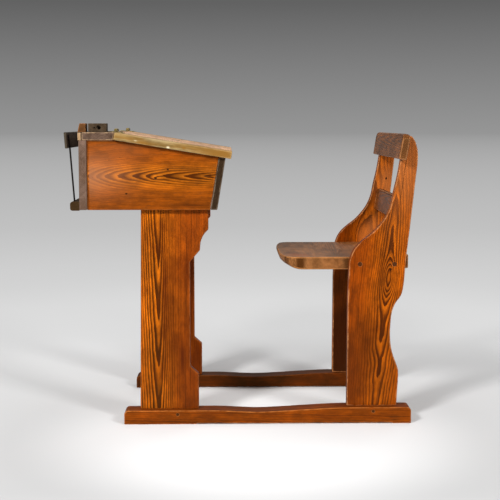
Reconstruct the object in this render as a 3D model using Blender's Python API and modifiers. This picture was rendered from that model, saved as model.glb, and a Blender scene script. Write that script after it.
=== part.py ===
"""A pupil's school desk in pitch pine: a sloping locker desk and a fixed seat on two runners.

Metres, +Z up. The pupil sits at the +X end and faces -X; the pupil's left is -Y.
Inside this file X is counted from the back ends of the runners, and the whole desk
hangs on one empty that centres it over the origin.
"""

import math

import bmesh
import bpy
from mathutils import Matrix, Vector

# Clearances and common details
GAP = 0.0003
OVERRUN = 0.004
EDGE_ROUND = 0.0015
ROUND_SIDES = 16
SHANK_SIDES = 8
OUTLINE_STEPS = 3

# Runners
RUNNER_LENGTH = 0.724
RUNNER_WIDTH = 0.056
RUNNER_BACK_HEIGHT = 0.035
RUNNER_FRONT_HEIGHT = 0.041
RUNNER_CORNER_RADIUS = 0.010
RUNNER_WEAR = 0.0065
RUNNER_RELIEF = 0.002
RUNNER_BACK_FOOT = 0.180
RUNNER_FRONT_FOOT = 0.045
MORTISE_DEPTH = 0.022
TENON_SHOULDER = 0.015
PEG_RADIUS = 0.004
PEG_LENGTH = 0.048
PEG_DROP = 0.010

# Planks that stand on the runners
PLANK_THICKNESS = 0.025
PLANK_SETBACK = 0.020
PLANK_SPREAD = 0.445
LEG_X = 0.045
LEG_FOOT_WIDTH = 0.1425
LEG_FOOT_FLARE = 0.005
LEG_WAIST_WIDTH = 0.1215
LEG_STEP_WIDTH = 0.1465
LEG_HEAD_WIDTH = 0.168
LEG_ANKLE_Z = 0.125
LEG_WAIST_LOW_Z = 0.144
LEG_WAIST_DROP = 0.1315
LEG_STEP_DROP = 0.1025
LEG_COVE_DROP = 0.0505
LEG_INTO_LOCKER = 0.114
PANEL_X = 0.5665
PANEL_FOOT_WIDTH = 0.126
PANEL_FOOT_KICK = 0.004
PANEL_DEPTH = 0.1657
PANEL_HEIGHT = 0.7205

# Locker
LEG_TO_FRONT = 0.00854
LOCKER_BOTTOM_Z = 0.541
LOCKER_HEIGHT = 0.1718
SIDE_THICKNESS = 0.0195
BACK_THICKNESS = 0.0195
FRONT_THICKNESS = 0.017
FRONT_INSET = 0.0136
BOTTOM_THICKNESS = 0.012
BEARER_WIDTH = 0.040
BEARER_HEIGHT = 0.017
BEARER_RECESS = 0.0015
BEARER_INSET = 0.035
BEARER_HOUSING = 0.008
BATTEN_THICKNESS = 0.0077
BATTEN_PROUD = 0.0017
BATTEN_HEIGHT = 0.0185
SLOT_WIDTH = 0.0023
RAIL_THICKNESS = 0.0197
RAIL_DEPTH = 0.0797
LID_JOINT = 0.002

# Lid
LID_SLOPE = math.radians(9.2)
LID_LENGTH = 0.2922
LID_OVERHANG = 0.0152
LID_THICKNESS = 0.019
LID_REAR_BOARD = 0.150
LID_CLAMP_WIDTH = 0.045
TONGUE_LENGTH = 0.009
TONGUE_THICKNESS = 0.006

# Hinges
HINGE_LENGTH = 0.050
HINGE_INSET = 0.005
HINGE_LEAF = 0.0200
HINGE_LEAF_THICKNESS = 0.0016
KNUCKLE_RADIUS = 0.0042
KNUCKLE_LIFT = 0.0004
KNUCKLE_COUNT = 5
HINGE_PIN_RADIUS = 0.0016
HINGE_SCREW_SPREAD = 0.030

# Book rack behind the locker
RACK_LEDGE_DEPTH = 0.0221
RACK_LEDGE_HEIGHT = 0.0222
RACK_LEDGE_RADIUS = 0.006
RACK_LEAN = math.radians(4.2)
RACK_STRIP_THICKNESS = 0.006
RACK_STRIP_HEIGHT = 0.040
RACK_STRIP_RISE = 0.0008
RACK_OPENING = 0.0268
RACK_ROD_RADIUS = 0.0022
RACK_ROD_INSET = 0.030
RACK_ROD_SEAT = 0.010
RACK_ROD_TOP_CUT = 0.006
STAPLE_RADIUS = 0.0009
STAPLE_LEG = 0.004

# Small blocks on the rear rail
BLOCK_LENGTH = 0.0445
BLOCK_DEPTH = 0.045
BLOCK_HEIGHT = 0.0215
BLOCK_SLOT = 0.0065
BLOCK_INSET = 0.010
WEDGE_BASE = 0.0198
WEDGE_TOP = 0.0148
WEDGE_X = 0.0111
BLOCK_HOLE_RADIUS = 0.0045
BLOCK_SMALL_HOLE_RADIUS = 0.0020
BLOCK_HOLE_DEPTH = 0.014

# Seat and back
SEAT_TOP_Z = 0.4185
SEAT_THICKNESS = 0.032
SEAT_DEPTH = 0.298
SEAT_TO_RAIL = 0.0014
SEAT_CORNER_RADIUS = 0.028
SEAT_DISH = 0.006
SEAT_NOSE_RISE = 0.024
SEAT_NOSE_LENGTH = 0.050
SEAT_ROUND = 0.003
SEAT_COLUMNS = 18
SEAT_ROWS = 14
SEAT_FRONT_CROWDING = 1.6
SEAT_RAIL_HEIGHT = 0.035
SEAT_RAIL_THICKNESS = 0.022
SEAT_RAIL_PROUD = 0.009
SEAT_RAIL_RISE = 0.007
PLUG_RADIUS = 0.0055
PLUG_DEPTH = 0.006
BACK_LEAN = math.radians(10.0)
MID_RAIL_HEIGHT = 0.058
MID_RAIL_THICKNESS = 0.018
MID_RAIL_HOUSING = 0.009
CREST_HEIGHT = 0.064
CREST_THICKNESS = 0.019
CREST_OVERHANG = 0.040
CREST_CORNER_RADIUS = 0.018
CREST_ROUND = 0.003

# Screws: head radius, shank radius, length
SMALL_SCREW = {"head": 0.0032, "shank": 0.0014, "length": 0.0155}
LONG_SCREW = {"head": 0.0042, "shank": 0.0021, "length": 0.042}

# Outlines and places, as shares of the sizes that they follow
PANEL_FRONT_SHARES = (
    (0.000, 0.560), (0.030, 0.589), (0.098, 0.618), (0.208, 0.643), (0.352, 0.669),
    (0.469, 0.698), (0.556, 0.727), (0.624, 0.765), (0.659, 0.806), (0.722, 0.869),
    (0.762, 0.924), (0.803, 0.974), (0.840, 0.999),
)
PANEL_BACK_SHARES = (
    (0.900, 1.004), (0.952, 0.994), (0.993, 0.972), (1.017, 0.944), (1.018, 0.923),
    (0.989, 0.859), (0.956, 0.783), (0.908, 0.678), (0.873, 0.608), (0.846, 0.538),
    (0.817, 0.472), (0.785, 0.447), (0.705, 0.421), (0.655, 0.391), (0.632, 0.345),
    (0.632, 0.291), (0.660, 0.249), (0.720, 0.210), (0.758, 0.182),
)
LEG_COVE_SHARES = ((0.27, 0.89), (0.56, 0.74), (0.76, 0.57), (0.91, 0.38), (0.97, 0.18))
RUNNER_WEAR_SHARES = ((0.10, 0.10), (0.22, 0.48), (0.38, 1.00), (0.55, 0.82), (0.75, 0.38), (0.92, 0.06))
CREST_X_SHARE = 0.696
CREST_Z_SHARE = 0.9257
MID_RAIL_X_SHARE = 0.680
MID_RAIL_Z_SHARE = 0.7122
SEAT_SCREW_SHARES = (0.1604, 0.6855)
GRID_HALF_SHARE = 0.5
PEG_X_SHARES = {"leg": 0.628, "panel": 0.488}

# Places that follow from the sizes above
LEG_OUTER_Y = PLANK_SPREAD / 2
LEG_INNER_Y = LEG_OUTER_Y - PLANK_THICKNESS
PLANK_Y = LEG_OUTER_Y - PLANK_THICKNESS / 2
RUNNER_Y = LEG_OUTER_Y + PLANK_SETBACK - RUNNER_WIDTH / 2
SIDE_INNER_Y = LEG_OUTER_Y + GAP
SIDE_OUTER_Y = SIDE_INNER_Y + SIDE_THICKNESS
SIDE_Y = (SIDE_INNER_Y + SIDE_OUTER_Y) / 2
LOCKER_TOP_Z = LOCKER_BOTTOM_Z + LOCKER_HEIGHT
LEG_WAIST_HIGH_Z = LOCKER_BOTTOM_Z - LEG_WAIST_DROP
LEG_STEP_Z = LOCKER_BOTTOM_Z - LEG_STEP_DROP
LEG_COVE_Z = LOCKER_BOTTOM_Z - LEG_COVE_DROP
LEG_TOP_Z = LOCKER_BOTTOM_Z + LEG_INTO_LOCKER
LID_WIDTH = 2 * (SIDE_OUTER_Y + LID_OVERHANG)
HINGE_Y = LID_WIDTH / 2 - LID_CLAMP_WIDTH - HINGE_INSET - HINGE_LENGTH / 2
RAIL_TOP_Z = LOCKER_TOP_Z + RAIL_THICKNESS
LID_Z = RAIL_TOP_Z
FRONT_OUTER_S = LID_LENGTH - FRONT_INSET
FRONT_INNER_S = FRONT_OUTER_S - FRONT_THICKNESS
FLOOR_Z = LOCKER_BOTTOM_Z + BEARER_RECESS + BEARER_HEIGHT + GAP
FRONT_REACH = FRONT_INNER_S / math.cos(LID_SLOPE) - (LID_Z - FLOOR_Z) * math.tan(LID_SLOPE)
LID_X = LEG_X + LEG_HEAD_WIDTH + LEG_TO_FRONT - FRONT_REACH
RAIL_X = LID_X - LID_JOINT - RAIL_DEPTH
BATTEN_X = RAIL_X - SLOT_WIDTH - BATTEN_THICKNESS
BACK_OUTER_X = BATTEN_X + BATTEN_PROUD
BACK_INNER_X = BACK_OUTER_X + BACK_THICKNESS
RACK_STRIP_FOOT_X = BACK_OUTER_X - RACK_OPENING
RACK_STRIP_TOP_Z = RAIL_TOP_Z + RACK_STRIP_RISE
AXIS_X = LID_X - LID_JOINT / 2
AXIS_Z = RAIL_TOP_Z + GAP + KNUCKLE_LIFT + KNUCKLE_RADIUS

PARTS = None
CUTTERS = None
DESK = None
LID = None
MATERIALS = {}


def clear_scene():
    """Empty the file."""
    for thing in list(bpy.data.objects):
        bpy.data.objects.remove(thing, do_unlink=True)


def collection(name):
    """A new collection in the scene."""
    group = bpy.data.collections.new(name)
    bpy.context.scene.collection.children.link(group)
    return group


def empty(name, parent=None, location=(0, 0, 0)):
    """A plain axes empty that others hang on."""
    thing = bpy.data.objects.new(name, None)
    PARTS.objects.link(thing)
    thing.parent = parent
    thing.location = location
    return thing


def material(name, colour, roughness, metallic=0.0):
    """One Principled material, kept by name."""
    made = bpy.data.materials.new(name)
    made.use_nodes = True
    shader = made.node_tree.nodes["Principled BSDF"]
    shader.inputs["Base Color"].default_value = (*colour, 1.0)
    shader.inputs["Roughness"].default_value = roughness
    shader.inputs["Metallic"].default_value = metallic
    MATERIALS[name] = made


def make_materials():
    """The finishes of the desk."""
    material("golden_pine", (0.46, 0.15, 0.03), 0.42)
    material("dark_pine", (0.16, 0.07, 0.03), 0.48)
    material("bare_pine", (0.45, 0.30, 0.15), 0.70)
    material("weathered_pine", (0.24, 0.17, 0.13), 0.75)
    material("blackened_wood", (0.03, 0.025, 0.022), 0.60)
    material("iron", (0.03, 0.03, 0.03), 0.55, 0.9)
    material("steel", (0.30, 0.27, 0.24), 0.45, 0.9)
    material("brass", (0.55, 0.42, 0.15), 0.38, 1.0)


def add_part(thing, finish, parent=None):
    """Put a finished object among the parts of the desk."""
    for group in thing.users_collection:
        group.objects.unlink(thing)
    PARTS.objects.link(thing)
    thing.parent = parent or DESK
    thing.data.materials.clear()
    thing.data.materials.append(MATERIALS[finish])
    return thing


def add_cutter(thing, parent=None):
    """Put an object among the cutters."""
    for group in thing.users_collection:
        group.objects.unlink(thing)
    CUTTERS.objects.link(thing)
    thing.parent = parent or DESK
    thing.hide_render = True
    thing.display_type = "WIRE"
    return thing


def mesh_object(name, bm):
    """An object from a bmesh, linked to the scene's own collection for now."""
    mesh = bpy.data.meshes.new(name)
    bm.to_mesh(mesh)
    bm.free()
    thing = bpy.data.objects.new(name, mesh)
    bpy.context.scene.collection.objects.link(thing)
    return thing


def box(name, size, centre):
    """A rectangular block of the given size about its centre."""
    bm = bmesh.new()
    bmesh.ops.create_cube(bm, size=1.0, matrix=Matrix.Diagonal((*size, 1.0)))
    thing = mesh_object(name, bm)
    thing.location = centre
    return thing


def span_box(name, low, high):
    """A rectangular block between two corners."""
    low, high = Vector(low), Vector(high)
    return box(name, high - low, (low + high) / 2)


def rod(name, radius, length, centre, direction, sides=ROUND_SIDES):
    """A capped cylinder about its centre, along a direction."""
    bm = bmesh.new()
    bmesh.ops.create_cone(bm, cap_ends=True, segments=sides, radius1=radius, radius2=radius, depth=length)
    thing = mesh_object(name, bm)
    smooth(thing)
    thing.location = centre
    thing.rotation_euler = Vector(direction).to_track_quat("Z", "Y").to_euler()
    return thing


def smooth(thing, angle=math.radians(35)):
    """Smooth shading with the corners kept sharp."""
    thing.data.shade_smooth()
    thing.data.set_sharp_from_angle(angle=angle)


def round_edges(thing, width=EDGE_ROUND, segments=1, angle=math.radians(40)):
    """A bevel on every sharp edge."""
    bevel = thing.modifiers.new("rounded_edges", "BEVEL")
    bevel.width = width
    bevel.segments = segments
    bevel.limit_method = "ANGLE"
    bevel.angle_limit = angle
    return thing


def cut(thing, *cutters):
    """Take cutters away from an object."""
    for tool in cutters:
        boolean = thing.modifiers.new("cut", "BOOLEAN")
        boolean.operation = "DIFFERENCE"
        boolean.solver = "EXACT"
        boolean.object = tool
    return thing


def join(thing, *others):
    """Add overlapping shapes to an object."""
    for other in others:
        boolean = thing.modifiers.new("join", "BOOLEAN")
        boolean.operation = "UNION"
        boolean.solver = "EXACT"
        boolean.object = other
    return thing


def plate(name, points, thickness, curved=()):
    """A flat outline in X and Z, with half its thickness on each side of Y = 0.

    The points whose numbers are in curved lie on a smooth curve; the rest are corners.
    """
    curve = bpy.data.curves.new(name, "CURVE")
    curve.dimensions = "2D"
    curve.fill_mode = "BOTH"
    curve.extrude = thickness / 2
    curve.resolution_u = OUTLINE_STEPS
    spline = curve.splines.new("BEZIER")
    spline.bezier_points.add(len(points) - 1)
    for number, (knot, (x, z)) in enumerate(zip(spline.bezier_points, points)):
        knot.co = (x, z, 0)
        handle = "AUTO" if number in curved else "VECTOR"
        knot.handle_left_type = handle
        knot.handle_right_type = handle
    spline.use_cyclic_u = True
    drawn = bpy.data.objects.new(name + "_curve", curve)
    bpy.context.scene.collection.objects.link(drawn)
    bpy.context.view_layer.update()
    seen = drawn.evaluated_get(bpy.context.evaluated_depsgraph_get())
    mesh = bpy.data.meshes.new_from_object(seen)
    matrix = drawn.matrix_world.copy()
    bpy.data.objects.remove(drawn, do_unlink=True)
    bm = bmesh.new()
    bm.from_mesh(mesh)
    bpy.data.meshes.remove(mesh)
    bmesh.ops.remove_doubles(bm, verts=bm.verts, dist=0.00005)
    bmesh.ops.dissolve_limit(
        bm, angle_limit=math.radians(0.5), verts=bm.verts, edges=bm.edges, use_dissolve_boundaries=False
    )
    bmesh.ops.transform(bm, matrix=Matrix.Rotation(math.pi / 2, 4, "X"), verts=bm.verts)
    bmesh.ops.recalc_face_normals(bm, faces=bm.faces)
    thing = mesh_object(name, bm)
    thing.matrix_world = matrix
    return thing


def fillet(corner, before, after, radius, steps=4):
    """Points on an arc that rounds one corner of an outline."""
    corner, before, after = Vector(corner), Vector(before), Vector(after)
    into = (before - corner).normalized()
    away = (after - corner).normalized()
    half = into.angle(away) / 2
    middle = corner + (into + away).normalized() * (radius / math.sin(half))
    start = corner + into * (radius / math.tan(half)) - middle
    turn = math.pi - 2 * half
    sense = 1 if into.x * away.y - into.y * away.x < 0 else -1
    return [
        tuple(middle + Matrix.Rotation(sense * turn * step / steps, 2) @ start)
        for step in range(steps + 1)
    ]


def turned(name, profile, sides=SHANK_SIDES):
    """A turned piece about Z, from a profile of (radius, height) that runs down its outer side."""
    bm = bmesh.new()
    knots = [bm.verts.new((radius, 0, height)) for radius, height in profile]
    for first, second in zip(knots, knots[1:]):
        bm.edges.new((first, second))
    thing = mesh_object(name, bm)
    screw = thing.modifiers.new("turned", "SCREW")
    screw.axis = "Z"
    screw.angle = math.tau
    screw.steps = sides
    screw.render_steps = sides
    screw.use_merge_vertices = True
    screw.merge_threshold = 0.00005
    return thing


def screw_profile(kind, grow=0.0):
    """A countersunk wood screw, head at the top; grown, it is the hole with a short open mouth."""
    head, shank = kind["head"] + grow, kind["shank"] + grow
    taper = head - shank
    point = kind["length"] + grow
    mouth = ((0, 2 * grow), (head, 2 * grow)) if grow else ((0, 0),)
    return (*mouth, (head, 0), (shank, -taper), (shank, -(point - 2 * shank)), (0, -point))


def fasteners(name, places, kind, finish, parent=None):
    """A row of like screws, each its own object, and a cutter for each.

    places holds (head, direction) pairs; the direction runs from the point to the head.
    """
    cutters = []
    for number, (head, direction) in enumerate(places, 1):
        turn = Vector(direction).to_track_quat("Z", "Y").to_euler()
        piece = add_part(turned(f"{name}_{number}", screw_profile(kind)), finish, parent)
        hole = add_cutter(turned(f"{name}_{number}_hole", screw_profile(kind, GAP)), parent)
        for thing in (piece, hole):
            thing.location = head
            thing.rotation_euler = turn
        cutters.append(hole)
    return cutters


def on_lid(s, h):
    """X and Z of a point s down the slope from the lid's top rear edge and h below its top."""
    return (
        LID_X + s * math.cos(LID_SLOPE) - h * math.sin(LID_SLOPE),
        LID_Z - s * math.sin(LID_SLOPE) - h * math.cos(LID_SLOPE),
    )


def on_lid_at_x(x, h):
    """Z of the plane h below the lid's top, at x."""
    return LID_Z - h / math.cos(LID_SLOPE) - (x - LID_X) * math.tan(LID_SLOPE)


def on_front_at_z(s, z):
    """X of the line square to the lid at s, at height z."""
    return LID_X + s / math.cos(LID_SLOPE) - (LID_Z - z) * math.tan(LID_SLOPE)


def mortise(name, low_x, high_x, top_z):
    """The socket for a plank's tenon in a runner."""
    return add_cutter(span_box(
        name,
        (low_x - GAP, -PLANK_THICKNESS / 2 + EDGE_ROUND - GAP, top_z - MORTISE_DEPTH),
        (high_x + GAP, PLANK_THICKNESS / 2 - EDGE_ROUND + GAP, top_z + OVERRUN),
    ))


def make_frame(side, prefix):
    """A runner with the desk leg and the seat panel that stand on it."""
    leg_front = LEG_X + LEG_FOOT_WIDTH
    panel_foot = PANEL_X + PANEL_FOOT_WIDTH
    back_top, front_top = RUNNER_BACK_HEIGHT, RUNNER_FRONT_HEIGHT
    worn_from, worn_to = leg_front + TENON_SHOULDER, PANEL_X - TENON_SHOULDER
    worn = [
        (
            worn_from + (worn_to - worn_from) * along,
            back_top + (front_top - back_top) * along - RUNNER_WEAR * deep,
        )
        for along, deep in RUNNER_WEAR_SHARES
    ]
    back_corner = fillet((0, back_top), (0, 0), (LEG_X, back_top), RUNNER_CORNER_RADIUS)
    front_corner = fillet(
        (RUNNER_LENGTH, front_top), (panel_foot, front_top), (RUNNER_LENGTH, 0), RUNNER_CORNER_RADIUS
    )
    points = (
        [(0, 0)] + back_corner + [(worn_from, back_top)] + worn + [(worn_to, front_top)]
        + front_corner
        + [
            (RUNNER_LENGTH, 0),
            (RUNNER_LENGTH - RUNNER_FRONT_FOOT, 0),
            (RUNNER_LENGTH - RUNNER_FRONT_FOOT - RUNNER_RELIEF * 2, RUNNER_RELIEF),
            (RUNNER_BACK_FOOT + RUNNER_RELIEF * 2, RUNNER_RELIEF),
            (RUNNER_BACK_FOOT, 0),
        ]
    )
    first_worn = len(back_corner) + 2
    curved = range(first_worn, first_worn + len(worn))
    runner = add_part(plate(f"{prefix}_runner", points, RUNNER_WIDTH, curved), "golden_pine")
    runner.location.y = side * RUNNER_Y
    round_edges(runner)

    leg = make_leg(side, prefix, back_top)
    panel = make_panel(side, prefix, front_top)
    sockets = (
        mortise(f"{prefix}_leg_mortise", LEG_X + TENON_SHOULDER, leg_front - TENON_SHOULDER, back_top),
        mortise(f"{prefix}_panel_mortise", PANEL_X + TENON_SHOULDER, panel_foot - TENON_SHOULDER, front_top),
    )
    for socket in sockets:
        socket.location.y = side * PLANK_Y
    cut(runner, *sockets)
    return runner, leg, panel


def make_leg(side, prefix, foot_z):
    """The plank under the desk, with its cut-away front edge and stub tenon."""
    front = LEG_X + LEG_FOOT_WIDTH
    waist = LEG_X + LEG_WAIST_WIDTH
    step = LEG_X + LEG_STEP_WIDTH
    head = LEG_X + LEG_HEAD_WIDTH
    sole = foot_z + GAP
    cove = [
        (head - (head - step) * inwards, LEG_STEP_Z + (LEG_COVE_Z - LEG_STEP_Z) * upwards)
        for inwards, upwards in LEG_COVE_SHARES
    ]
    points = [
        (LEG_X - LEG_FOOT_FLARE, sole), (LEG_X, LOCKER_BOTTOM_Z), (LEG_X, LEG_TOP_Z), (head, LEG_TOP_Z), (head, LEG_COVE_Z), *cove,
        (step, LEG_STEP_Z), (waist, LEG_WAIST_HIGH_Z), (waist, LEG_WAIST_LOW_Z),
        (front, LEG_ANKLE_Z), (front, sole),
    ]
    leg = add_part(
        plate(f"{prefix}_desk_leg", points, PLANK_THICKNESS, range(5, 5 + len(cove))), "golden_pine"
    )
    leg.location.y = side * PLANK_Y
    round_edges(leg)
    return add_tenon(leg, LEG_X + TENON_SHOULDER, front - TENON_SHOULDER, foot_z)


def add_tenon(plank, low_x, high_x, foot_z):
    """The stub tenon under a plank."""
    half = PLANK_THICKNESS / 2 - EDGE_ROUND
    tenon = add_cutter(span_box(
        f"{plank.name}_tenon", (low_x, -half, foot_z - MORTISE_DEPTH + GAP), (high_x, half, foot_z + OVERRUN)
    ))
    tenon.location.y = plank.location.y
    return join(plank, tenon)


def make_panel(side, prefix, foot_z):
    """The shaped plank that carries the seat and the back."""
    front = [(PANEL_X + PANEL_DEPTH * x, PANEL_HEIGHT * z) for x, z in PANEL_FRONT_SHARES]
    back = [(PANEL_X + PANEL_DEPTH * x, PANEL_HEIGHT * z) for x, z in PANEL_BACK_SHARES]
    foot = PANEL_X + PANEL_FOOT_WIDTH
    sole = foot_z + GAP
    points = [
        (PANEL_X - PANEL_FOOT_KICK, sole), *front, *back, (foot, back[-1][1] - PLANK_THICKNESS / 2),
        (foot - PANEL_FOOT_KICK, sole),
    ]
    panel = add_part(
        plate(f"{prefix}_seat_panel", points, PLANK_THICKNESS, range(1, len(front) + len(back) + 1)),
        "golden_pine",
    )
    panel.location.y = side * PLANK_Y
    round_edges(panel)
    return add_tenon(panel, PANEL_X + TENON_SHOULDER, foot - TENON_SHOULDER, foot_z)


def make_pegs(frames):
    """The pegs that pin each tenon in its runner."""
    places = (
        ("leg", LEG_X + LEG_FOOT_WIDTH * PEG_X_SHARES["leg"], RUNNER_BACK_HEIGHT - PEG_DROP),
        ("panel", PANEL_X + PANEL_FOOT_WIDTH * PEG_X_SHARES["panel"], RUNNER_FRONT_HEIGHT - PEG_DROP),
    )
    outer_y = RUNNER_Y + RUNNER_WIDTH / 2
    for side, prefix, frame in ((-1, "left", frames[0]), (1, "right", frames[1])):
        for member, (joint, x, z) in enumerate(places, 1):
            y = side * (outer_y - PEG_LENGTH / 2 - GAP)
            add_part(rod(f"{prefix}_{joint}_peg", PEG_RADIUS, PEG_LENGTH, (x, y, z), (0, 1, 0)), "dark_pine")
            hole = add_cutter(rod(
                f"{prefix}_{joint}_peg_hole", PEG_RADIUS + GAP, PEG_LENGTH + OVERRUN,
                (x, side * (outer_y - PEG_LENGTH / 2 + OVERRUN / 2 - GAP * 2), z), (0, 1, 0),
            ))
            cut(frame[0], hole)
            cut(frame[member], hole)


def make_locker(frames):
    """The boards of the locker, its floor and the bearers under the floor."""
    lid_under = LID_THICKNESS + GAP
    back_x = BACK_INNER_X + GAP
    front_s = FRONT_INNER_S - GAP
    rail_under = LOCKER_TOP_Z - GAP
    corner_s = front_s
    turn_x = LID_X + (LID_Z - lid_under / math.cos(LID_SLOPE) - rail_under) / math.tan(LID_SLOPE)
    outline = [
        (back_x, LOCKER_BOTTOM_Z), (back_x, rail_under), (turn_x, rail_under),
        on_lid(corner_s, lid_under), (on_front_at_z(front_s, LOCKER_BOTTOM_Z), LOCKER_BOTTOM_Z),
    ]
    for side, prefix in ((-1, "left"), (1, "right")):
        board = add_part(plate(f"{prefix}_locker_side", outline, SIDE_THICKNESS), "golden_pine")
        board.location.y = side * SIDE_Y
        round_edges(board)

    back = add_part(span_box(
        "locker_back",
        (BACK_OUTER_X, -SIDE_OUTER_Y, LOCKER_BOTTOM_Z),
        (BACK_INNER_X, SIDE_OUTER_Y, rail_under),
    ), "weathered_pine")
    round_edges(back)

    front = add_part(plate("locker_front", [
        (on_front_at_z(FRONT_INNER_S, LOCKER_BOTTOM_Z), LOCKER_BOTTOM_Z),
        on_lid(FRONT_INNER_S, lid_under),
        on_lid(FRONT_OUTER_S, lid_under),
        (on_front_at_z(FRONT_OUTER_S, LOCKER_BOTTOM_Z), LOCKER_BOTTOM_Z),
    ], 2 * SIDE_OUTER_Y), "dark_pine")
    round_edges(front)

    head = LEG_X + LEG_HEAD_WIDTH
    low_x, high_x = BACK_INNER_X + GAP, on_front_at_z(FRONT_INNER_S, FLOOR_Z) - GAP
    wide, narrow = SIDE_INNER_Y - GAP, LEG_INNER_Y - GAP
    notch_low, notch_high = LEG_X - GAP, head + GAP
    floor = plate("locker_floor", [
        (low_x, -wide), (low_x, wide), (notch_low, wide), (notch_low, narrow),
        (notch_high, narrow), (notch_high, wide), (high_x, wide), (high_x, -wide),
        (notch_high, -wide), (notch_high, -narrow), (notch_low, -narrow), (notch_low, -wide),
    ], BOTTOM_THICKNESS)
    floor.data.transform(Matrix.Rotation(-math.pi / 2, 4, "X"))
    add_part(floor, "bare_pine")
    floor.location.z = FLOOR_Z + BOTTOM_THICKNESS / 2

    half = LEG_INNER_Y + BEARER_HOUSING
    for name, x in (("rear_bearer", LEG_X + BEARER_INSET), ("front_bearer", head - BEARER_INSET)):
        centre = (x, 0, FLOOR_Z - GAP - BEARER_HEIGHT / 2)
        add_part(box(name, (BEARER_WIDTH, 2 * (half - GAP), BEARER_HEIGHT), centre), "bare_pine")
        housing = add_cutter(box(
            f"{name}_housing", (BEARER_WIDTH + 2 * GAP, 2 * half, BEARER_HEIGHT + 2 * GAP), centre
        ))
        for frame in frames:
            cut(frame[1], housing)


def make_rear_rail():
    """The fixed rail behind the lid and the light batten behind it."""
    slant = RAIL_THICKNESS * math.tan(LID_SLOPE)
    top_front = LID_X - LID_JOINT
    rail = add_part(plate("rear_rail", [
        (RAIL_X, LOCKER_TOP_Z), (RAIL_X, RAIL_TOP_Z), (top_front, RAIL_TOP_Z),
        (top_front - slant, LOCKER_TOP_Z),
    ], 2 * SIDE_OUTER_Y), "weathered_pine")
    round_edges(rail)
    batten = add_part(span_box(
        "slot_batten",
        (BATTEN_X, -SIDE_OUTER_Y, LOCKER_TOP_Z),
        (BATTEN_X + BATTEN_THICKNESS, SIDE_OUTER_Y, LOCKER_TOP_Z + BATTEN_HEIGHT),
    ), "bare_pine")
    round_edges(batten, EDGE_ROUND / 2)
    return rail


def lid_profile(name, length, outline, s_middle, finish):
    """A piece of the lid: an outline across the width, run down the slope."""
    thing = plate(name, outline, length)
    thing.data.transform(Matrix.Rotation(-math.pi / 2, 4, "Z"))
    x, z = on_lid(s_middle, 0)
    thing.location = (x - AXIS_X, 0, z - AXIS_Z)
    thing.rotation_euler = (0, LID_SLOPE, 0)
    if finish:
        return round_edges(add_part(thing, finish, LID))
    return add_cutter(thing, LID)


def make_lid():
    """Two boards across the desk between two clamps that run down the slope."""
    half = LID_WIDTH / 2
    inner = half - LID_CLAMP_WIDTH
    middle = LID_THICKNESS / 2
    tongue = TONGUE_THICKNESS / 2
    groove = tongue + GAP
    shoulder = inner - GAP
    tip = inner + TONGUE_LENGTH
    board = [(-shoulder, 0), (shoulder, 0), (shoulder, -LID_THICKNESS), (-shoulder, -LID_THICKNESS)]
    reach = tip - GAP
    blade = [
        (-reach, -middle + tongue), (reach, -middle + tongue), (reach, -middle - tongue),
        (-reach, -middle - tongue),
    ]
    boards = []
    for name, low, high in (
        ("lid_rear_board", 0, LID_REAR_BOARD), ("lid_front_board", LID_REAR_BOARD + GAP, LID_LENGTH),
    ):
        made = lid_profile(name, high - low, board, (low + high) / 2, "bare_pine")
        tongues = lid_profile(f"{name}_tongues", high - low - GAP, blade, (low + high) / 2, None)
        boards.append(join(made, tongues))
    groove = [
        (-tip, -middle + tongue + GAP), (tip, -middle + tongue + GAP), (tip, -middle - tongue - GAP),
        (-tip, -middle - tongue - GAP),
    ]
    grooves = lid_profile("lid_clamp_grooves", LID_LENGTH + OVERRUN, groove, LID_LENGTH / 2, None)
    for side, name in ((1, "left_lid_clamp"), (-1, "right_lid_clamp")):
        outline = [
            (side * half, 0), (side * half, -LID_THICKNESS), (side * inner, -LID_THICKNESS), (side * inner, 0),
        ]
        cut(lid_profile(name, LID_LENGTH, outline, LID_LENGTH / 2, "bare_pine"), grooves)
    return boards


def hinge_leaf(name, y, fixed):
    """One leaf with its knuckles, about the hinge's own axis."""
    pitch = HINGE_LENGTH / KNUCKLE_COUNT
    side = -1 if fixed else 1
    floor_z = -(KNUCKLE_RADIUS + KNUCKLE_LIFT)
    top_z = floor_z + HINGE_LEAF_THICKNESS
    near = KNUCKLE_RADIUS + 2 * GAP

    def slab(label, x_from, x_to, y_from, y_to):
        xs = sorted((side * x_from, side * x_to))
        return span_box(label, (xs[0], y_from, floor_z), (xs[1], y_to, top_z))

    leaf = slab(name, near, HINGE_LEAF, -HINGE_LENGTH / 2, HINGE_LENGTH / 2)
    grown = []
    for number in range(0 if fixed else 1, KNUCKLE_COUNT, 2):
        low = -HINGE_LENGTH / 2 + pitch * number + GAP / 2
        high = low + pitch - GAP
        middle = (low + high) / 2
        grown.append(slab(f"{name}_arm_{number}", KNUCKLE_RADIUS / 4, near * 2, low + GAP, high - GAP))
        grown.append(rod(
            f"{name}_knuckle_{number}", KNUCKLE_RADIUS, high - low, (0, middle, 0), (0, 1, 0)
        ))
    bore = rod(f"{name}_bore", HINGE_PIN_RADIUS + GAP, HINGE_LENGTH + OVERRUN, (0, 0, 0), (0, 1, 0))
    anchor = DESK if fixed else LID
    add_part(leaf, "brass", anchor)
    for piece in (*grown, bore):
        add_cutter(piece, leaf)
        piece.location = piece.location - leaf.location
    join(leaf, *grown)
    cut(leaf, bore)
    home = Vector((AXIS_X, y, AXIS_Z)) if fixed else Vector((0, y, 0))
    shift = Matrix.Rotation(0 if fixed else LID_SLOPE, 4, "Y")
    leaf.rotation_euler = shift.to_euler()
    leaf.location = home + shift @ leaf.location
    return leaf


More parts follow.
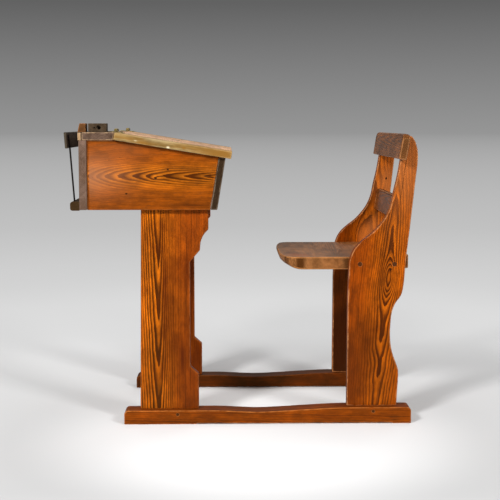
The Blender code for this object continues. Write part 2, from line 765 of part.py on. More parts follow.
def make_hinges(rail, lid_boards):
    """Two brass butt hinges laid on the top of the rail and the lid."""
    moving_screws, fixed_screws = [], []
    leaves = {"fixed": [], "moving": []}
    floor_z = -(KNUCKLE_RADIUS + KNUCKLE_LIFT)
    head_z = floor_z + HINGE_LEAF_THICKNESS - GAP / 2
    screw_x = (KNUCKLE_RADIUS + HINGE_LEAF) / 2 + GAP
    tilt = Matrix.Rotation(LID_SLOPE, 4, "Y")
    for side, prefix in ((-1, "left"), (1, "right")):
        y = side * HINGE_Y
        leaves["fixed"].append(hinge_leaf(f"{prefix}_hinge_fixed_leaf", y, True))
        leaves["moving"].append(hinge_leaf(f"{prefix}_hinge_moving_leaf", y, False))
        for offset in (-HINGE_SCREW_SPREAD / 2, HINGE_SCREW_SPREAD / 2):
            fixed_screws.append(((AXIS_X - screw_x, y + offset, AXIS_Z + head_z), (0, 0, 1)))
            moving_screws.append((
                tilt @ Vector((screw_x, 0, head_z)) + Vector((0, y + offset, 0)),
                tilt @ Vector((0, 0, 1)),
            ))
        add_part(rod(
            f"{prefix}_hinge_pin", HINGE_PIN_RADIUS, HINGE_LENGTH, (AXIS_X, y, AXIS_Z), (0, 1, 0)
        ), "brass")
    holes = fasteners("hinge_rail_screw", fixed_screws, SMALL_SCREW, "brass")
    for number, hole in enumerate(holes):
        cut(leaves["fixed"][number // 2], hole)
    cut(rail, *holes)
    holes = fasteners("hinge_lid_screw", moving_screws, SMALL_SCREW, "brass", LID)
    for number, hole in enumerate(holes):
        cut(leaves["moving"][number // 2], hole)
    cut(lid_boards[0], *holes)


def make_rack():
    """The book rack: a ledge, three leaning iron rods and a top strip held to them by staples."""
    ledge_out = BACK_OUTER_X - GAP - RACK_LEDGE_DEPTH
    ledge_in = BACK_OUTER_X - GAP
    low, high = LOCKER_BOTTOM_Z - EDGE_ROUND, LOCKER_BOTTOM_Z - EDGE_ROUND + RACK_LEDGE_HEIGHT
    outline = (
        fillet((ledge_out, low), (ledge_in, low), (ledge_out, high), RACK_LEDGE_RADIUS)
        + fillet((ledge_out, high), (ledge_out, low), (ledge_in, high), RACK_LEDGE_RADIUS)
        + [(ledge_in, high), (ledge_in, low)]
    )
    ledge = add_part(plate("rack_ledge", outline, 2 * SIDE_OUTER_Y), "dark_pine")

    up = Vector((-math.sin(RACK_LEAN), 0, math.cos(RACK_LEAN)))
    inwards = Vector((math.cos(RACK_LEAN), 0, math.sin(RACK_LEAN)))
    strip_top = Vector((
        RACK_STRIP_FOOT_X - RACK_STRIP_HEIGHT * math.sin(RACK_LEAN), 0,
        RACK_STRIP_TOP_Z - RACK_STRIP_THICKNESS * math.sin(RACK_LEAN),
    ))
    strip_middle = strip_top - up * (RACK_STRIP_HEIGHT / 2) - inwards * (RACK_STRIP_THICKNESS / 2)
    strip = add_part(box(
        "rack_strip", (RACK_STRIP_THICKNESS, 2 * SIDE_OUTER_Y, RACK_STRIP_HEIGHT), strip_middle
    ), "blackened_wood")
    strip.rotation_euler = (0, -RACK_LEAN, 0)
    round_edges(strip)

    rod_top = strip_top + inwards * (RACK_ROD_RADIUS + GAP) - up * RACK_ROD_TOP_CUT
    rod_length = (rod_top.z - (high - RACK_ROD_SEAT)) / math.cos(RACK_LEAN)
    staple_reach = RACK_ROD_RADIUS + GAP + STAPLE_RADIUS
    rod_y = SIDE_OUTER_Y - RACK_ROD_INSET
    for label, y in (("left", -rod_y), ("middle", 0), ("right", rod_y)):
        middle = rod_top - up * (rod_length / 2) + Vector((0, y, 0))
        add_part(rod(f"{label}_rack_rod", RACK_ROD_RADIUS, rod_length, middle, up), "iron")
        cut(ledge, add_cutter(rod(
            f"{label}_rack_rod_hole", RACK_ROD_RADIUS + GAP, rod_length + GAP * 2, middle, up
        )))
        centre = strip_top + inwards * (RACK_ROD_RADIUS + GAP) - up * (RACK_STRIP_HEIGHT / 2)
        centre = centre + Vector((0, y, 0))
        staple = add_part(staple_wire(f"{label}_rack_staple", staple_reach), "iron")
        staple.location = centre
        staple.rotation_euler = (0, -RACK_LEAN, 0)
        for hand in (-1, 1):
            spot = centre + Vector((0, hand * staple_reach, 0)) - inwards * staple_reach
            cut(strip, add_cutter(rod(
                f"{label}_staple_hole_{2 + hand}", STAPLE_RADIUS + GAP, 2 * (STAPLE_LEG + GAP), spot,
                inwards, SHANK_SIDES,
            )))


def staple_wire(name, reach):
    """A round-backed staple in X and Y about the rod that it holds, open towards -X."""
    curve = bpy.data.curves.new(name, "CURVE")
    curve.dimensions = "3D"
    curve.bevel_depth = STAPLE_RADIUS
    curve.bevel_resolution = 1
    curve.use_fill_caps = True
    arc = [
        (reach * math.cos(turn), reach * math.sin(turn))
        for turn in (math.radians(90 - 36 * step) for step in range(6))
    ]
    foot = -(RACK_ROD_RADIUS + GAP + STAPLE_LEG)
    spots = [(foot, reach), *arc, (foot, -reach)]
    spline = curve.splines.new("POLY")
    spline.points.add(len(spots) - 1)
    for knot, (x, y) in zip(spline.points, spots):
        knot.co = (x, y, 0, 1)
    drawn = bpy.data.objects.new(name + "_curve", curve)
    bpy.context.scene.collection.objects.link(drawn)
    bpy.context.view_layer.update()
    mesh = bpy.data.meshes.new_from_object(drawn.evaluated_get(bpy.context.evaluated_depsgraph_get()))
    bpy.data.objects.remove(drawn, do_unlink=True)
    bm = bmesh.new()
    bm.from_mesh(mesh)
    bpy.data.meshes.remove(mesh)
    bmesh.ops.remove_doubles(bm, verts=bm.verts, dist=0.00005)
    staple = mesh_object(name, bm)
    smooth(staple)
    return staple


def make_end_blocks():
    """The small wedge and block that stand on the rail's left end, with a slot between them."""
    base = RAIL_TOP_Z + GAP
    near = -(SIDE_OUTER_Y - BLOCK_INSET)
    middle = near + BLOCK_DEPTH / 2
    wedge_from = RAIL_X - WEDGE_X
    wedge_to = wedge_from + WEDGE_BASE
    wedge = add_part(plate("end_wedge", [
        (wedge_from, base), (wedge_to - WEDGE_TOP, base + BLOCK_HEIGHT),
        (wedge_to, base + BLOCK_HEIGHT), (wedge_to, base),
    ], BLOCK_DEPTH), "golden_pine")
    wedge.location.y = middle
    round_edges(wedge, EDGE_ROUND / 2)
    block_from = wedge_to + BLOCK_SLOT
    block = add_part(span_box(
        "end_block", (block_from, near, base), (block_from + BLOCK_LENGTH, near + BLOCK_DEPTH, base + BLOCK_HEIGHT)
    ), "weathered_pine")
    round_edges(block, EDGE_ROUND / 2)
    small_x, large_x = block_from + BLOCK_LENGTH / 3, block_from + BLOCK_LENGTH * 3 / 5
    for name, x, radius in (
        ("small", small_x, BLOCK_SMALL_HOLE_RADIUS), ("large", large_x, BLOCK_HOLE_RADIUS),
    ):
        cut(block, add_cutter(rod(
            f"{name}_block_hole", radius, 2 * BLOCK_HOLE_DEPTH, (x, near, base + BLOCK_HEIGHT / 2), (0, 1, 0)
        )))


def make_seat(frames):
    """The dished seat board between the panels, its screws and the plugs over them."""
    half = LEG_INNER_Y - GAP
    front_x = seat_rail_front() - SEAT_TO_RAIL - SEAT_DEPTH
    bm = bmesh.new()
    bmesh.ops.create_grid(bm, x_segments=SEAT_COLUMNS, y_segments=SEAT_ROWS, size=GRID_HALF_SHARE)
    top = list(bm.verts)
    lowered = bmesh.ops.extrude_face_region(bm, geom=list(bm.faces))
    bottom = [item for item in lowered["geom"] if isinstance(item, bmesh.types.BMVert)]
    for vert in top + bottom:
        vert.co.x = (vert.co.x + GRID_HALF_SHARE) ** SEAT_FRONT_CROWDING * SEAT_DEPTH
        back_from_corner = max(SEAT_CORNER_RADIUS - vert.co.x, 0.0)
        pulled_in = SEAT_CORNER_RADIUS - math.sqrt(SEAT_CORNER_RADIUS ** 2 - back_from_corner ** 2)
        vert.co.y = vert.co.y * 2 * (half - pulled_in)
    for vert in top:
        across = math.cos(math.pi / 2 * vert.co.y / half)
        along = math.sin(math.pi * vert.co.x / SEAT_DEPTH)
        vert.co.z = -SEAT_DISH * across * along
    for vert in bottom:
        nose = max(SEAT_NOSE_LENGTH - vert.co.x, 0.0) / SEAT_NOSE_LENGTH
        vert.co.z = SEAT_NOSE_RISE - SEAT_THICKNESS - SEAT_NOSE_RISE * math.sqrt(1 - nose ** 2)
    bmesh.ops.recalc_face_normals(bm, faces=bm.faces)
    seat = add_part(mesh_object("seat_board", bm), "dark_pine")
    seat.location = (front_x, 0, SEAT_TOP_Z)
    smooth(seat)
    round_edges(seat, SEAT_ROUND, 2, math.radians(50))

    screw_z = SEAT_TOP_Z - SEAT_THICKNESS / 2
    spots, places = [], []
    for side in (-1, 1):
        for share in SEAT_SCREW_SHARES:
            x = PANEL_X + PANEL_DEPTH * share
            spots.append(((x, side * (LEG_OUTER_Y - PLUG_DEPTH - 2 * GAP), screw_z), (0, side, 0)))
            places.append((x, side, screw_z))
    holes = fasteners("seat_screw", spots, LONG_SCREW, "steel")
    for number, (x, side, z) in enumerate(places):
        plug = rod(
            f"seat_plug_{number + 1}", PLUG_RADIUS, PLUG_DEPTH,
            (x, side * (LEG_OUTER_Y - PLUG_DEPTH / 2), z), (0, 1, 0),
        )
        add_part(plug, "dark_pine")
        socket = add_cutter(rod(
            f"seat_plug_socket_{number + 1}", PLUG_RADIUS + GAP, 2 * (PLUG_DEPTH + GAP),
            (x, side * LEG_OUTER_Y, z), (0, 1, 0),
        ))
        cut(frames[0 if side < 0 else 1][2], socket, holes[number])
    cut(seat, *holes)


def make_seat_rail(frames):
    """The rail behind the seat board, housed in the panels' inner faces and proud of their edges."""
    front_x = seat_rail_front()
    back_x = front_x + SEAT_RAIL_THICKNESS
    low = SEAT_TOP_Z + SEAT_RAIL_RISE - SEAT_RAIL_HEIGHT
    high = SEAT_TOP_Z + SEAT_RAIL_RISE
    end = LEG_INNER_Y + MID_RAIL_HOUSING
    rail = add_part(span_box(
        "rear_seat_rail", (front_x, GAP - end, low), (back_x, end - GAP, high)
    ), "dark_pine")
    round_edges(rail, EDGE_ROUND * 2, 2)
    notch = add_cutter(span_box(
        "seat_rail_housing", (front_x - GAP, -end, low - GAP), (back_x + OVERRUN, end, high + GAP),
    ))
    for frame in frames:
        cut(frame[2], notch)


def seat_rail_front():
    """X of the front face of the rail behind the seat."""
    edge = panel_back_at(SEAT_TOP_Z - SEAT_RAIL_HEIGHT / 2)
    return edge + SEAT_RAIL_PROUD - SEAT_RAIL_THICKNESS


def panel_back_at(z):
    """X of the panel's rear edge at a height, read along the outline's own points."""
    points = [(PANEL_X + PANEL_DEPTH * x, PANEL_HEIGHT * share) for x, share in PANEL_BACK_SHARES]
    for (x_high, z_high), (x_low, z_low) in zip(points, points[1:]):
        if z_low <= z <= z_high:
            return x_low + (x_high - x_low) * (z - z_low) / (z_high - z_low)
    return points[-1][0]


def leaning_plate(name, outline, thickness, foot, finish):
    """A rail that leans back: an outline in Y and height, its front lower edge at foot."""
    thing = plate(name, outline, thickness)
    thing.data.transform(Matrix.Rotation(math.pi / 2, 4, "Z"))
    thing.data.transform(Matrix.Translation((thickness / 2, 0, 0)))
    if finish:
        add_part(thing, finish)
    else:
        add_cutter(thing)
    thing.location = foot
    thing.rotation_euler = (0, BACK_LEAN, 0)
    return thing


def make_back_rails(frames):
    """The crest rail let into the panels' front edges and the middle rail housed between them."""
    half = LEG_OUTER_Y + CREST_OVERHANG
    outline = (
        fillet((-half, CREST_HEIGHT), (-half, 0), (half, CREST_HEIGHT), CREST_CORNER_RADIUS)
        + fillet((half, CREST_HEIGHT), (-half, CREST_HEIGHT), (half, 0), CREST_CORNER_RADIUS)
        + [(half, 0), (-half, 0)]
    )
    foot = Vector((PANEL_X + PANEL_DEPTH * CREST_X_SHARE, 0, PANEL_HEIGHT * CREST_Z_SHARE))
    crest = leaning_plate("crest_rail", outline, CREST_THICKNESS, foot, "dark_pine")
    round_edges(crest, CREST_ROUND, 2)
    reach = half + OVERRUN
    seat_in = [
        (-reach, CREST_HEIGHT * 2), (reach, CREST_HEIGHT * 2), (reach, -GAP), (-reach, -GAP),
    ]
    depth = CREST_THICKNESS + CREST_HEIGHT + GAP
    notch = leaning_plate("crest_notch", seat_in, depth, foot, None)
    notch.location = foot + Matrix.Rotation(BACK_LEAN, 3, "Y") @ Vector((-CREST_HEIGHT, 0, 0))

    lean = Matrix.Rotation(BACK_LEAN, 3, "Y")
    inner = LEG_INNER_Y + MID_RAIL_HOUSING

    def rail_outline(end, margin):
        return [
            (-end, MID_RAIL_HEIGHT + margin), (end, MID_RAIL_HEIGHT + margin), (end, -margin), (-end, -margin),
        ]

    foot = Vector((PANEL_X + PANEL_DEPTH * MID_RAIL_X_SHARE, 0, PANEL_HEIGHT * MID_RAIL_Z_SHARE))
    middle = leaning_plate(
        "middle_back_rail", rail_outline(inner - GAP, 0), MID_RAIL_THICKNESS, foot, "dark_pine"
    )
    round_edges(middle)
    housing = leaning_plate(
        "middle_rail_housing", rail_outline(inner, GAP), MID_RAIL_THICKNESS + 2 * GAP, foot, None
    )
    housing.location = foot + lean @ Vector((-GAP, 0, 0))
    for frame in frames:
        cut(frame[2], notch, housing)


def centre_over_origin():
    """Move the desk so that its bounds are centred on X = 0."""
    bpy.context.view_layer.update()
    graph = bpy.context.evaluated_depsgraph_get()
    reach = [
        (thing.matrix_world @ Vector(corner)).x
        for thing in (part.evaluated_get(graph) for part in PARTS.objects if part.type == "MESH")
        for corner in thing.bound_box
    ]
    DESK.location.x = -(min(reach) + max(reach)) / 2
    bpy.context.view_layer.update()


def main():
    """Build the whole desk."""
    global PARTS, CUTTERS, DESK, LID
    clear_scene()
    PARTS = collection("school_desk")
    CUTTERS = collection("cutters")
    make_materials()
    DESK = empty("desk_frame")
    LID = empty("lid_axis", DESK, (AXIS_X, 0, AXIS_Z))
    frames = (make_frame(-1, "left"), make_frame(1, "right"))
    make_pegs(frames)
    make_locker(frames)
    rail = make_rear_rail()
    lid_boards = make_lid()
    make_hinges(rail, lid_boards)
    make_rack()
    make_end_blocks()
    make_seat(frames)
    make_seat_rail(frames)
    make_back_rails(frames)
    centre_over_origin()


main()
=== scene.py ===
"""A pitch pine school desk with a sloping locker and a fixed seat, dressed for a studio view.

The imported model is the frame. Each operator in the School Desk sidebar dresses one piece or
one group of like pieces; the last one sets the floor, the lamps and the camera.
"""

import math
from functools import partialmethod, reduce, wraps

import bmesh
import bpy
from bpy.props import FloatProperty, FloatVectorProperty, IntProperty, PointerProperty
from mathutils import Matrix, Vector
from mathutils.geometry import intersect_point_line


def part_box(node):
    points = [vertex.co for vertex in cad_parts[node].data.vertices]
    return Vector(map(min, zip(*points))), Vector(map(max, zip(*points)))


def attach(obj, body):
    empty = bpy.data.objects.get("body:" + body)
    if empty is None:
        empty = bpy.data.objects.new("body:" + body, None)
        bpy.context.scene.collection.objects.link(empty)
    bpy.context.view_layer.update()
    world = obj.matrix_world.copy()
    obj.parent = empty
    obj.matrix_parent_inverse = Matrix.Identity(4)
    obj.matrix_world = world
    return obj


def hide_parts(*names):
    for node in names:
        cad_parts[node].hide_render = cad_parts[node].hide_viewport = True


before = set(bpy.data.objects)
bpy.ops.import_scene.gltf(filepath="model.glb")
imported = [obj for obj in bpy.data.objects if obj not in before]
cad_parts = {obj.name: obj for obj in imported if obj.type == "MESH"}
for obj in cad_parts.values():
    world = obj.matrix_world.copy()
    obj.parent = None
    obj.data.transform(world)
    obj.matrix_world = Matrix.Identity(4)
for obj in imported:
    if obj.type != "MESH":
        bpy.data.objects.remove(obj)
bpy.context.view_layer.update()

bl_info = {
    "name": "Pine School Desk",
    "version": (1, 0, 0),
    "blender": (4, 5, 0),
    "location": "3D View > Sidebar > School Desk",
    "description": "Wood, metal and studio for a pitch pine school desk with a locker and a seat",
    "category": "Add Mesh",
}

# how far the leaning boards are turned about Y
LID_SLOPE = math.radians(9.2)
BACK_LEAN = math.radians(10.0)
PANEL_LEAN = math.radians(5.0)
RACK_LEAN = math.radians(4.2)

# small distances in metres: vertices merged, cuts snapped, the least span with a rubbed strip
MERGED = 0.00001
SNAPPED = 0.000005
NARROW_FACE = 0.0016

# turns from one face to the next: within one flat face, within one side of a board or of the
# rounded rails, at an edge that is softened (least and most), at an edge that is shown sharp
ONE_FACE = math.radians(0.04)
ONE_SIDE = math.radians(9.9)
ONE_ROUND_SIDE = math.radians(18.0)
SOFTENED = (math.radians(28.0), math.radians(100.0))
SHARP = math.radians(30.0)
SHARP_METAL = math.radians(35.0)

# a rubbed strip: the least face in squares of its width, and how much of a face it may take
SMALL_FACE = 6
SPAN_SHARE = 0.7
GAP_SHARE = 0.4

# cuts for a quarter of a curve
CURVE_CUTS = 10


def tone(red, green, blue):
    """A colour read as 0 to 255 on screen, turned into scene values."""
    def scene_value(level):
        share = level / 255
        return share / 12.92 if share <= 0.04045 else ((share + 0.055) / 1.055) ** 2.4
    return tuple(scene_value(level) for level in (red, green, blue))


def length(name, description, default, top=0.1):
    """A length that a user may change."""
    return FloatProperty(name=name, description=description, default=default, min=0.0, max=top,
                         unit="LENGTH", precision=4)


def share(name, description, default, top=1.0):
    """A plain share of something."""
    return FloatProperty(name=name, description=description, default=default, min=0.0, max=top,
                         subtype="FACTOR")


def power(name, description, default):
    """The power of a lamp."""
    return FloatProperty(name=name, description=description, default=default, min=0.0, unit="POWER")


def paint(name, description, red, green, blue):
    """A colour that a user may change."""
    return FloatVectorProperty(name=name, description=description, default=tone(red, green, blue),
                               min=0.0, max=1.0, size=3, subtype="COLOR")


# ---------------------------------------------------------------- settings


class SchoolDeskPine(bpy.types.PropertyGroup):
    """Sizes and colours of the wood."""

    edge_softness: length("Edge softness", "How far the sawn edges are worn round", 0.0006, 0.002)
    crest_rounding: length("Crest rounding", "How far the crest's top is rounded", 0.0075, 0.013)
    seat_bow: length("Seat bow", "How far the seat's front corners stand back", 0.017, 0.05)
    wear_band: length("Wear band", "Width of the rubbed strip beside an edge", 0.0035, 0.02)
    ring_width: length("Ring width", "Width of one year of growth", 0.0042, 0.02)
    wander: length("Wander", "How far the growth rings stray", 0.0030, 0.02)
    ring_depth: share("Ring depth", "How strongly the late wood shows", 0.95)
    golden_light: paint("Golden, early wood", "Stained, waxed pine between the rings", 172, 84, 8)
    golden_dark: paint("Golden, late wood", "Stained, waxed pine in the rings", 78, 24, 0)
    golden_stain: paint("Golden, old stain", "Darker stain that lies in patches", 96, 36, 2)
    golden_edge: paint("Golden, rubbed edge", "Pale rubbed edges of the golden wood", 192, 118, 58)
    brown_light: paint("Brown, early wood", "Dark stained rails between the rings", 142, 84, 40)
    brown_dark: paint("Brown, late wood", "Dark stained rails in the rings", 76, 40, 18)
    brown_stain: paint("Brown, old stain", "Patches on the dark rails", 70, 40, 20)
    brown_edge: paint("Brown, rubbed edge", "Rubbed edges of the dark rails", 168, 108, 60)
    bare_light: paint("Bare, early wood", "Scrubbed lid between the rings", 196, 164, 118)
    bare_dark: paint("Bare, late wood", "Scrubbed lid in the rings", 142, 104, 56)
    grey_light: paint("Grey, early wood", "Weathered boards between the rings", 112, 92, 82)
    grey_dark: paint("Grey, late wood", "Weathered boards in the rings", 84, 58, 42)
    black_light: paint("Black, early wood", "Blackened strip between the rings", 50, 41, 35)
    black_dark: paint("Black, late wood", "Blackened strip in the rings", 24, 17, 15)
    roughness: share("Roughness", "Roughness of the waxed wood", 0.42)


class SchoolDeskMetal(bpy.types.PropertyGroup):
    """Sizes and colours of the hinges, screws and rods."""

    brass: paint("Brass", "Rubbed brass", 178, 152, 92)
    tarnish: paint("Tarnish", "Old brass", 112, 100, 62)
    iron: paint("Iron", "Blackened iron", 34, 31, 30)
    rust: paint("Rust", "Rust on the iron", 78, 42, 24)
    screw_head: length("Screw head", "Radius of a hinge screw's head", 0.0032, 0.01)
    screw_slot: length("Screw slot", "Width of a screw's slot", 0.0007, 0.003)
    screw_length: length("Screw length", "Length of a hinge screw", 0.0155, 0.05)


class SchoolDeskStage(bpy.types.PropertyGroup):
    """Floor, backdrop, lamps and camera."""

    # painted light: the pool colour brightens the floor in front of the desk, and the near and back
    # colours paint the floor darker towards the camera
    floor_pool: paint("Floor, pool", "Bright floor in front of the desk", 249, 249, 249)
    floor_near: paint("Floor, near", "Floor towards the camera", 200, 200, 200)
    floor_back: paint("Floor, back", "Floor under the back of the desk", 238, 238, 238)
    floor_far: paint("Floor, far", "Own light of the floor behind the desk", 219, 219, 219)
    floor_middle: paint("Floor, middle", "Own light of the floor farther back", 193, 193, 193)
    horizon: paint("Backdrop, low", "Backdrop at the floor's end", 150, 150, 150)
    zenith: paint("Backdrop, high", "Backdrop above the desk", 98, 98, 98)
    sky: share("Soft light", "Even light from all round", 0.33, 2.0)
    key: power("Key lamp", "Lamp at the front left", 128.0)
    fill: power("Fill lamp", "Lamp at the front right", 76.0)
    rim: power("Top lamp", "Wide lamp above and behind", 35.0)
    lens: FloatProperty(name="Lens", description="Focal length of the camera", default=87.53,
                        min=10.0, unit="CAMERA")
    floor_sides: IntProperty(name="Floor sides", description="Sides of the round floor",
                             default=128, min=16)


# ---------------------------------------------------------------- node wiring


class Wiring:
    """Adds nodes to a tree and joins them, so that a pattern reads like a sum."""

    def __init__(self, tree):
        self.tree = tree

    def feed(self, socket, value):
        """Join a socket to another socket, or give it a value."""
        if isinstance(value, bpy.types.NodeSocket):
            self.tree.links.new(value, socket)
        elif socket.type == "RGBA":
            socket.default_value = (*value, 1.0)
        else:
            socket.default_value = value

    def add(self, kind, feeds=None, **settings):
        """A node with its settings and its inputs."""
        node = self.tree.nodes.new(kind)
        for key, value in settings.items():
            setattr(node, key, value)
        for key, value in (feeds or {}).items():
            self.feed(node.inputs[key], value)
        return node

    def group(self, tree, feeds):
        """The outputs of a shader node group."""
        return self.add("ShaderNodeGroup", feeds, node_tree=tree).outputs

    def maths(self, operation, *values, clamp=False):
        """One sum on plain values."""
        feeds = dict(enumerate(values))
        return self.add("ShaderNodeMath", feeds, operation=operation, use_clamp=clamp).outputs[0]

    plus = partialmethod(maths, "ADD")
    minus = partialmethod(maths, "SUBTRACT")
    times = partialmethod(maths, "MULTIPLY")
    times_plus = partialmethod(maths, "MULTIPLY_ADD")
    over = partialmethod(maths, "DIVIDE")
    larger = partialmethod(maths, "MAXIMUM")

    def bell(self, square):
        """A bell curve over the square of a distance: 1 at 0, and soon nothing."""
        return self.maths("EXPONENT", self.times(square, -1.0))

    def vectors(self, operation, *values):
        """One sum on vectors."""
        node = self.add("ShaderNodeVectorMath", dict(enumerate(values)), operation=operation)
        return node.outputs["Value" if operation == "LENGTH" else "Vector"]

    def split(self, vector):
        """The three parts of a vector."""
        return self.add("ShaderNodeSeparateXYZ", {0: vector}).outputs

    def join(self, parts):
        """A vector from its parts: {0: x, 1: y, 2: z}."""
        return self.add("ShaderNodeCombineXYZ", parts).outputs[0]

    def step(self, value, low, high, start=0.0, end=1.0):
        """A soft step from start to end as value goes from low to high."""
        node = self.add("ShaderNodeMapRange", {
            "Value": value, "From Min": low, "From Max": high, "To Min": start, "To Max": end,
        }, interpolation_type="SMOOTHSTEP")
        return node.outputs["Result"]

    def blend(self, factor, first, second, kind="MIX"):
        """One colour over another."""
        feeds = {0: factor, 6: first, 7: second}
        return self.add("ShaderNodeMix", feeds, data_type="RGBA", blend_type=kind).outputs[2]

    def noise(self, place, scale, detail=2.0, roughness=0.5):
        """Soft noise from 0 to 1."""
        return self.add("ShaderNodeTexNoise", {
            "Vector": place, "Scale": scale, "Detail": detail, "Roughness": roughness,
        }).outputs[0]

    def grain_noise(self, place, squeeze, scale, detail, roughness):
        """Noise drawn out along the grain."""
        drawn_out = self.vectors("MULTIPLY", place, (1.0, 1.0, squeeze))
        return self.noise(drawn_out, scale, detail, roughness)

    def ramp(self, value, stops):
        """A value read off a row of stops."""
        node = self.add("ShaderNodeValToRGB", {"Fac": value})
        band = node.color_ramp
        while len(band.elements) < len(stops):
            band.elements.new(1.0)
        for element, (place, level) in zip(band.elements, stops):
            element.position = place
            element.color = (level, level, level, 1.0)
        return node.outputs["Color"]


def built_once(build):
    """Builds a node group at its first use, and hands out the same one after that."""
    @wraps(build)
    def group():
        return bpy.data.node_groups.get(build.__name__) or build()
    return group


def effect_group(name, takes, gives):
    """A new shader node group: (wiring, its inputs, its outputs).

    takes holds each input's default: a number, a colour, or None for a vector.
    """
    tree = bpy.data.node_groups.new(name, "ShaderNodeTree")
    add = tree.interface.new_socket
    for label, default in takes.items():
        if default is None:
            add(name=label, in_out="INPUT", socket_type="NodeSocketVector")
        elif isinstance(default, tuple):
            socket = add(name=label, in_out="INPUT", socket_type="NodeSocketColor")
            socket.default_value = (*default, 1.0)
        else:
            add(name=label, in_out="INPUT", socket_type="NodeSocketFloat").default_value = default
    for label in gives:
        kind = "NodeSocketColor" if label == "Color" else "NodeSocketFloat"
        add(name=label, in_out="OUTPUT", socket_type=kind)
    wiring = Wiring(tree)
    return wiring, wiring.add("NodeGroupInput").outputs, wiring.add("NodeGroupOutput").inputs


def moved_by_seed(w, take, direction):
    """The board's coordinates moved by its seed, so that no two boards match."""
    shift = w.vectors("SCALE", direction)
    w.feed(shift.node.inputs["Scale"], take["Seed"])
    return w.vectors("ADD", take["Coordinates"], shift)


@built_once
def pine_figure():
    """Growth rings round a heart that runs beside the board, cut by the board's own faces.

    Coordinates are the board's: X across it, Y through it, Z along its grain.
    """
    w, take, give = effect_group("pine_figure", {
        "Coordinates": None, "Heart Across": 0.0, "Heart Depth": 0.03, "Heart Along": 0.0,
        "Taper": 0.02, "Ring Width": 0.004, "Wander": 0.003, "Push": 0.0, "Seed": 0.0,
        "Point": 1.6, "Jitter": 0.4, "Spread": 0.03, "Lopsided": 0.0, "Boldness": 0.5,
    }, ("Late", "Flame", "Fibre", "Cloud", "Pore"))
    own = moved_by_seed(w, take, (1.37, 2.11, 3.73))
    # slow noise bends the rings, fine noise frays them
    slow = w.vectors("MULTIPLY", own, (1.0, 1.0, 0.16))
    parts = w.split(take["Coordinates"])
    stray = w.minus(w.noise(slow, 16.0, 2.0, 0.5), 0.5)
    drift = w.minus(w.noise(w.vectors("ADD", slow, (3.1, 0.7, 5.9)), 9.0, 2.0, 0.5), 0.5)
    fine = w.minus(w.noise(slow, 90.0, 3.0, 0.6), 0.5)
    ripple = w.minus(w.grain_noise(own, 0.5, 34.0, 2.0, 0.5), 0.5)
    # the distance from the heart, which leans through the board by the taper
    across = w.minus(parts[0], take["Heart Across"])
    across = w.times_plus(stray, w.times(take["Wander"], 3.0), across)
    side = w.step(across, -0.012, 0.012, -1.0, 1.0)
    across = w.times(across, w.times_plus(side, take["Lopsided"], 1.0))
    along = w.minus(parts[2], take["Heart Along"])
    depth = w.times_plus(take["Taper"], along, w.plus(parts[1], take["Heart Depth"]))
    depth = w.times_plus(drift, w.times(take["Wander"], 2.0), depth)
    sides = [w.maths("POWER", w.maths("ABSOLUTE", part), take["Point"]) for part in (across, depth)]
    reach = w.maths("POWER", w.plus(*sides), w.over(1.0, take["Point"]))
    reach = w.plus(reach, take["Push"])
    reach = w.times_plus(fine, w.times(take["Wander"], 0.35), reach)
    reach = w.times_plus(ripple, w.times(take["Wander"], 1.3), reach)
    # the count of years, some wide and some narrow, with feathered edges
    years = w.plus(w.over(reach, take["Ring Width"]), w.plus(take["Seed"], 40.0))
    growth = w.add("ShaderNodeTexNoise", {"W": w.times(years, 0.45), "Scale": 1.0, "Detail": 1.0},
                   noise_dimensions="1D").outputs[0]
    feather = w.grain_noise(own, 0.05, 330.0, 3.0, 0.6)
    years = w.times_plus(w.minus(growth, 0.5), take["Jitter"], years)
    years = w.times_plus(w.minus(feather, 0.5), 0.35, years)
    season = w.maths("FRACT", years)
    year = w.maths("FLOOR", years)
    chance = w.add("ShaderNodeTexWhiteNoise", {"W": year}, noise_dimensions="1D").outputs["Value"]
    # each year ends in late wood, which is boldest over the heart, where the rings make V tips
    tip = w.over(across, w.times(take["Spread"], 0.42))
    tip = w.bell(w.times(tip, tip))
    bold = w.times(take["Boldness"], w.times_plus(tip, 0.75, 0.30))
    bold = w.maths("POWER", season, w.minus(1.5, bold))
    late = w.ramp(bold, (
        (0.0, 0.15), (0.04, 0.0), (0.26, 0.05), (0.50, 0.60), (0.66, 1.0), (0.97, 1.0), (1.0, 0.15),
    ))
    aside = w.over(across, take["Spread"])
    flame = w.bell(w.times(aside, aside))
    w.feed(give["Flame"], flame)
    least = w.times_plus(flame, 0.72, 0.25)
    strength = w.times_plus(w.minus(1.0, least), chance, least)
    w.feed(give["Late"], w.times(late, strength))
    # fibres, pores and clouds drawn out along the grain
    thread = w.grain_noise(own, 0.014, 620.0, 4.0, 0.65)
    streak = w.grain_noise(own, 0.035, 190.0, 3.0, 0.6)
    w.feed(give["Fibre"], w.times_plus(thread, 0.5, w.times(streak, 0.5)))
    pore = w.grain_noise(own, 0.03, 1500.0, 1.0, 0.5)
    w.feed(give["Pore"], w.step(pore, 0.62, 0.74))
    w.feed(give["Cloud"], w.grain_noise(own, 0.45, 13.0, 4.0, 0.6))
    return w.tree


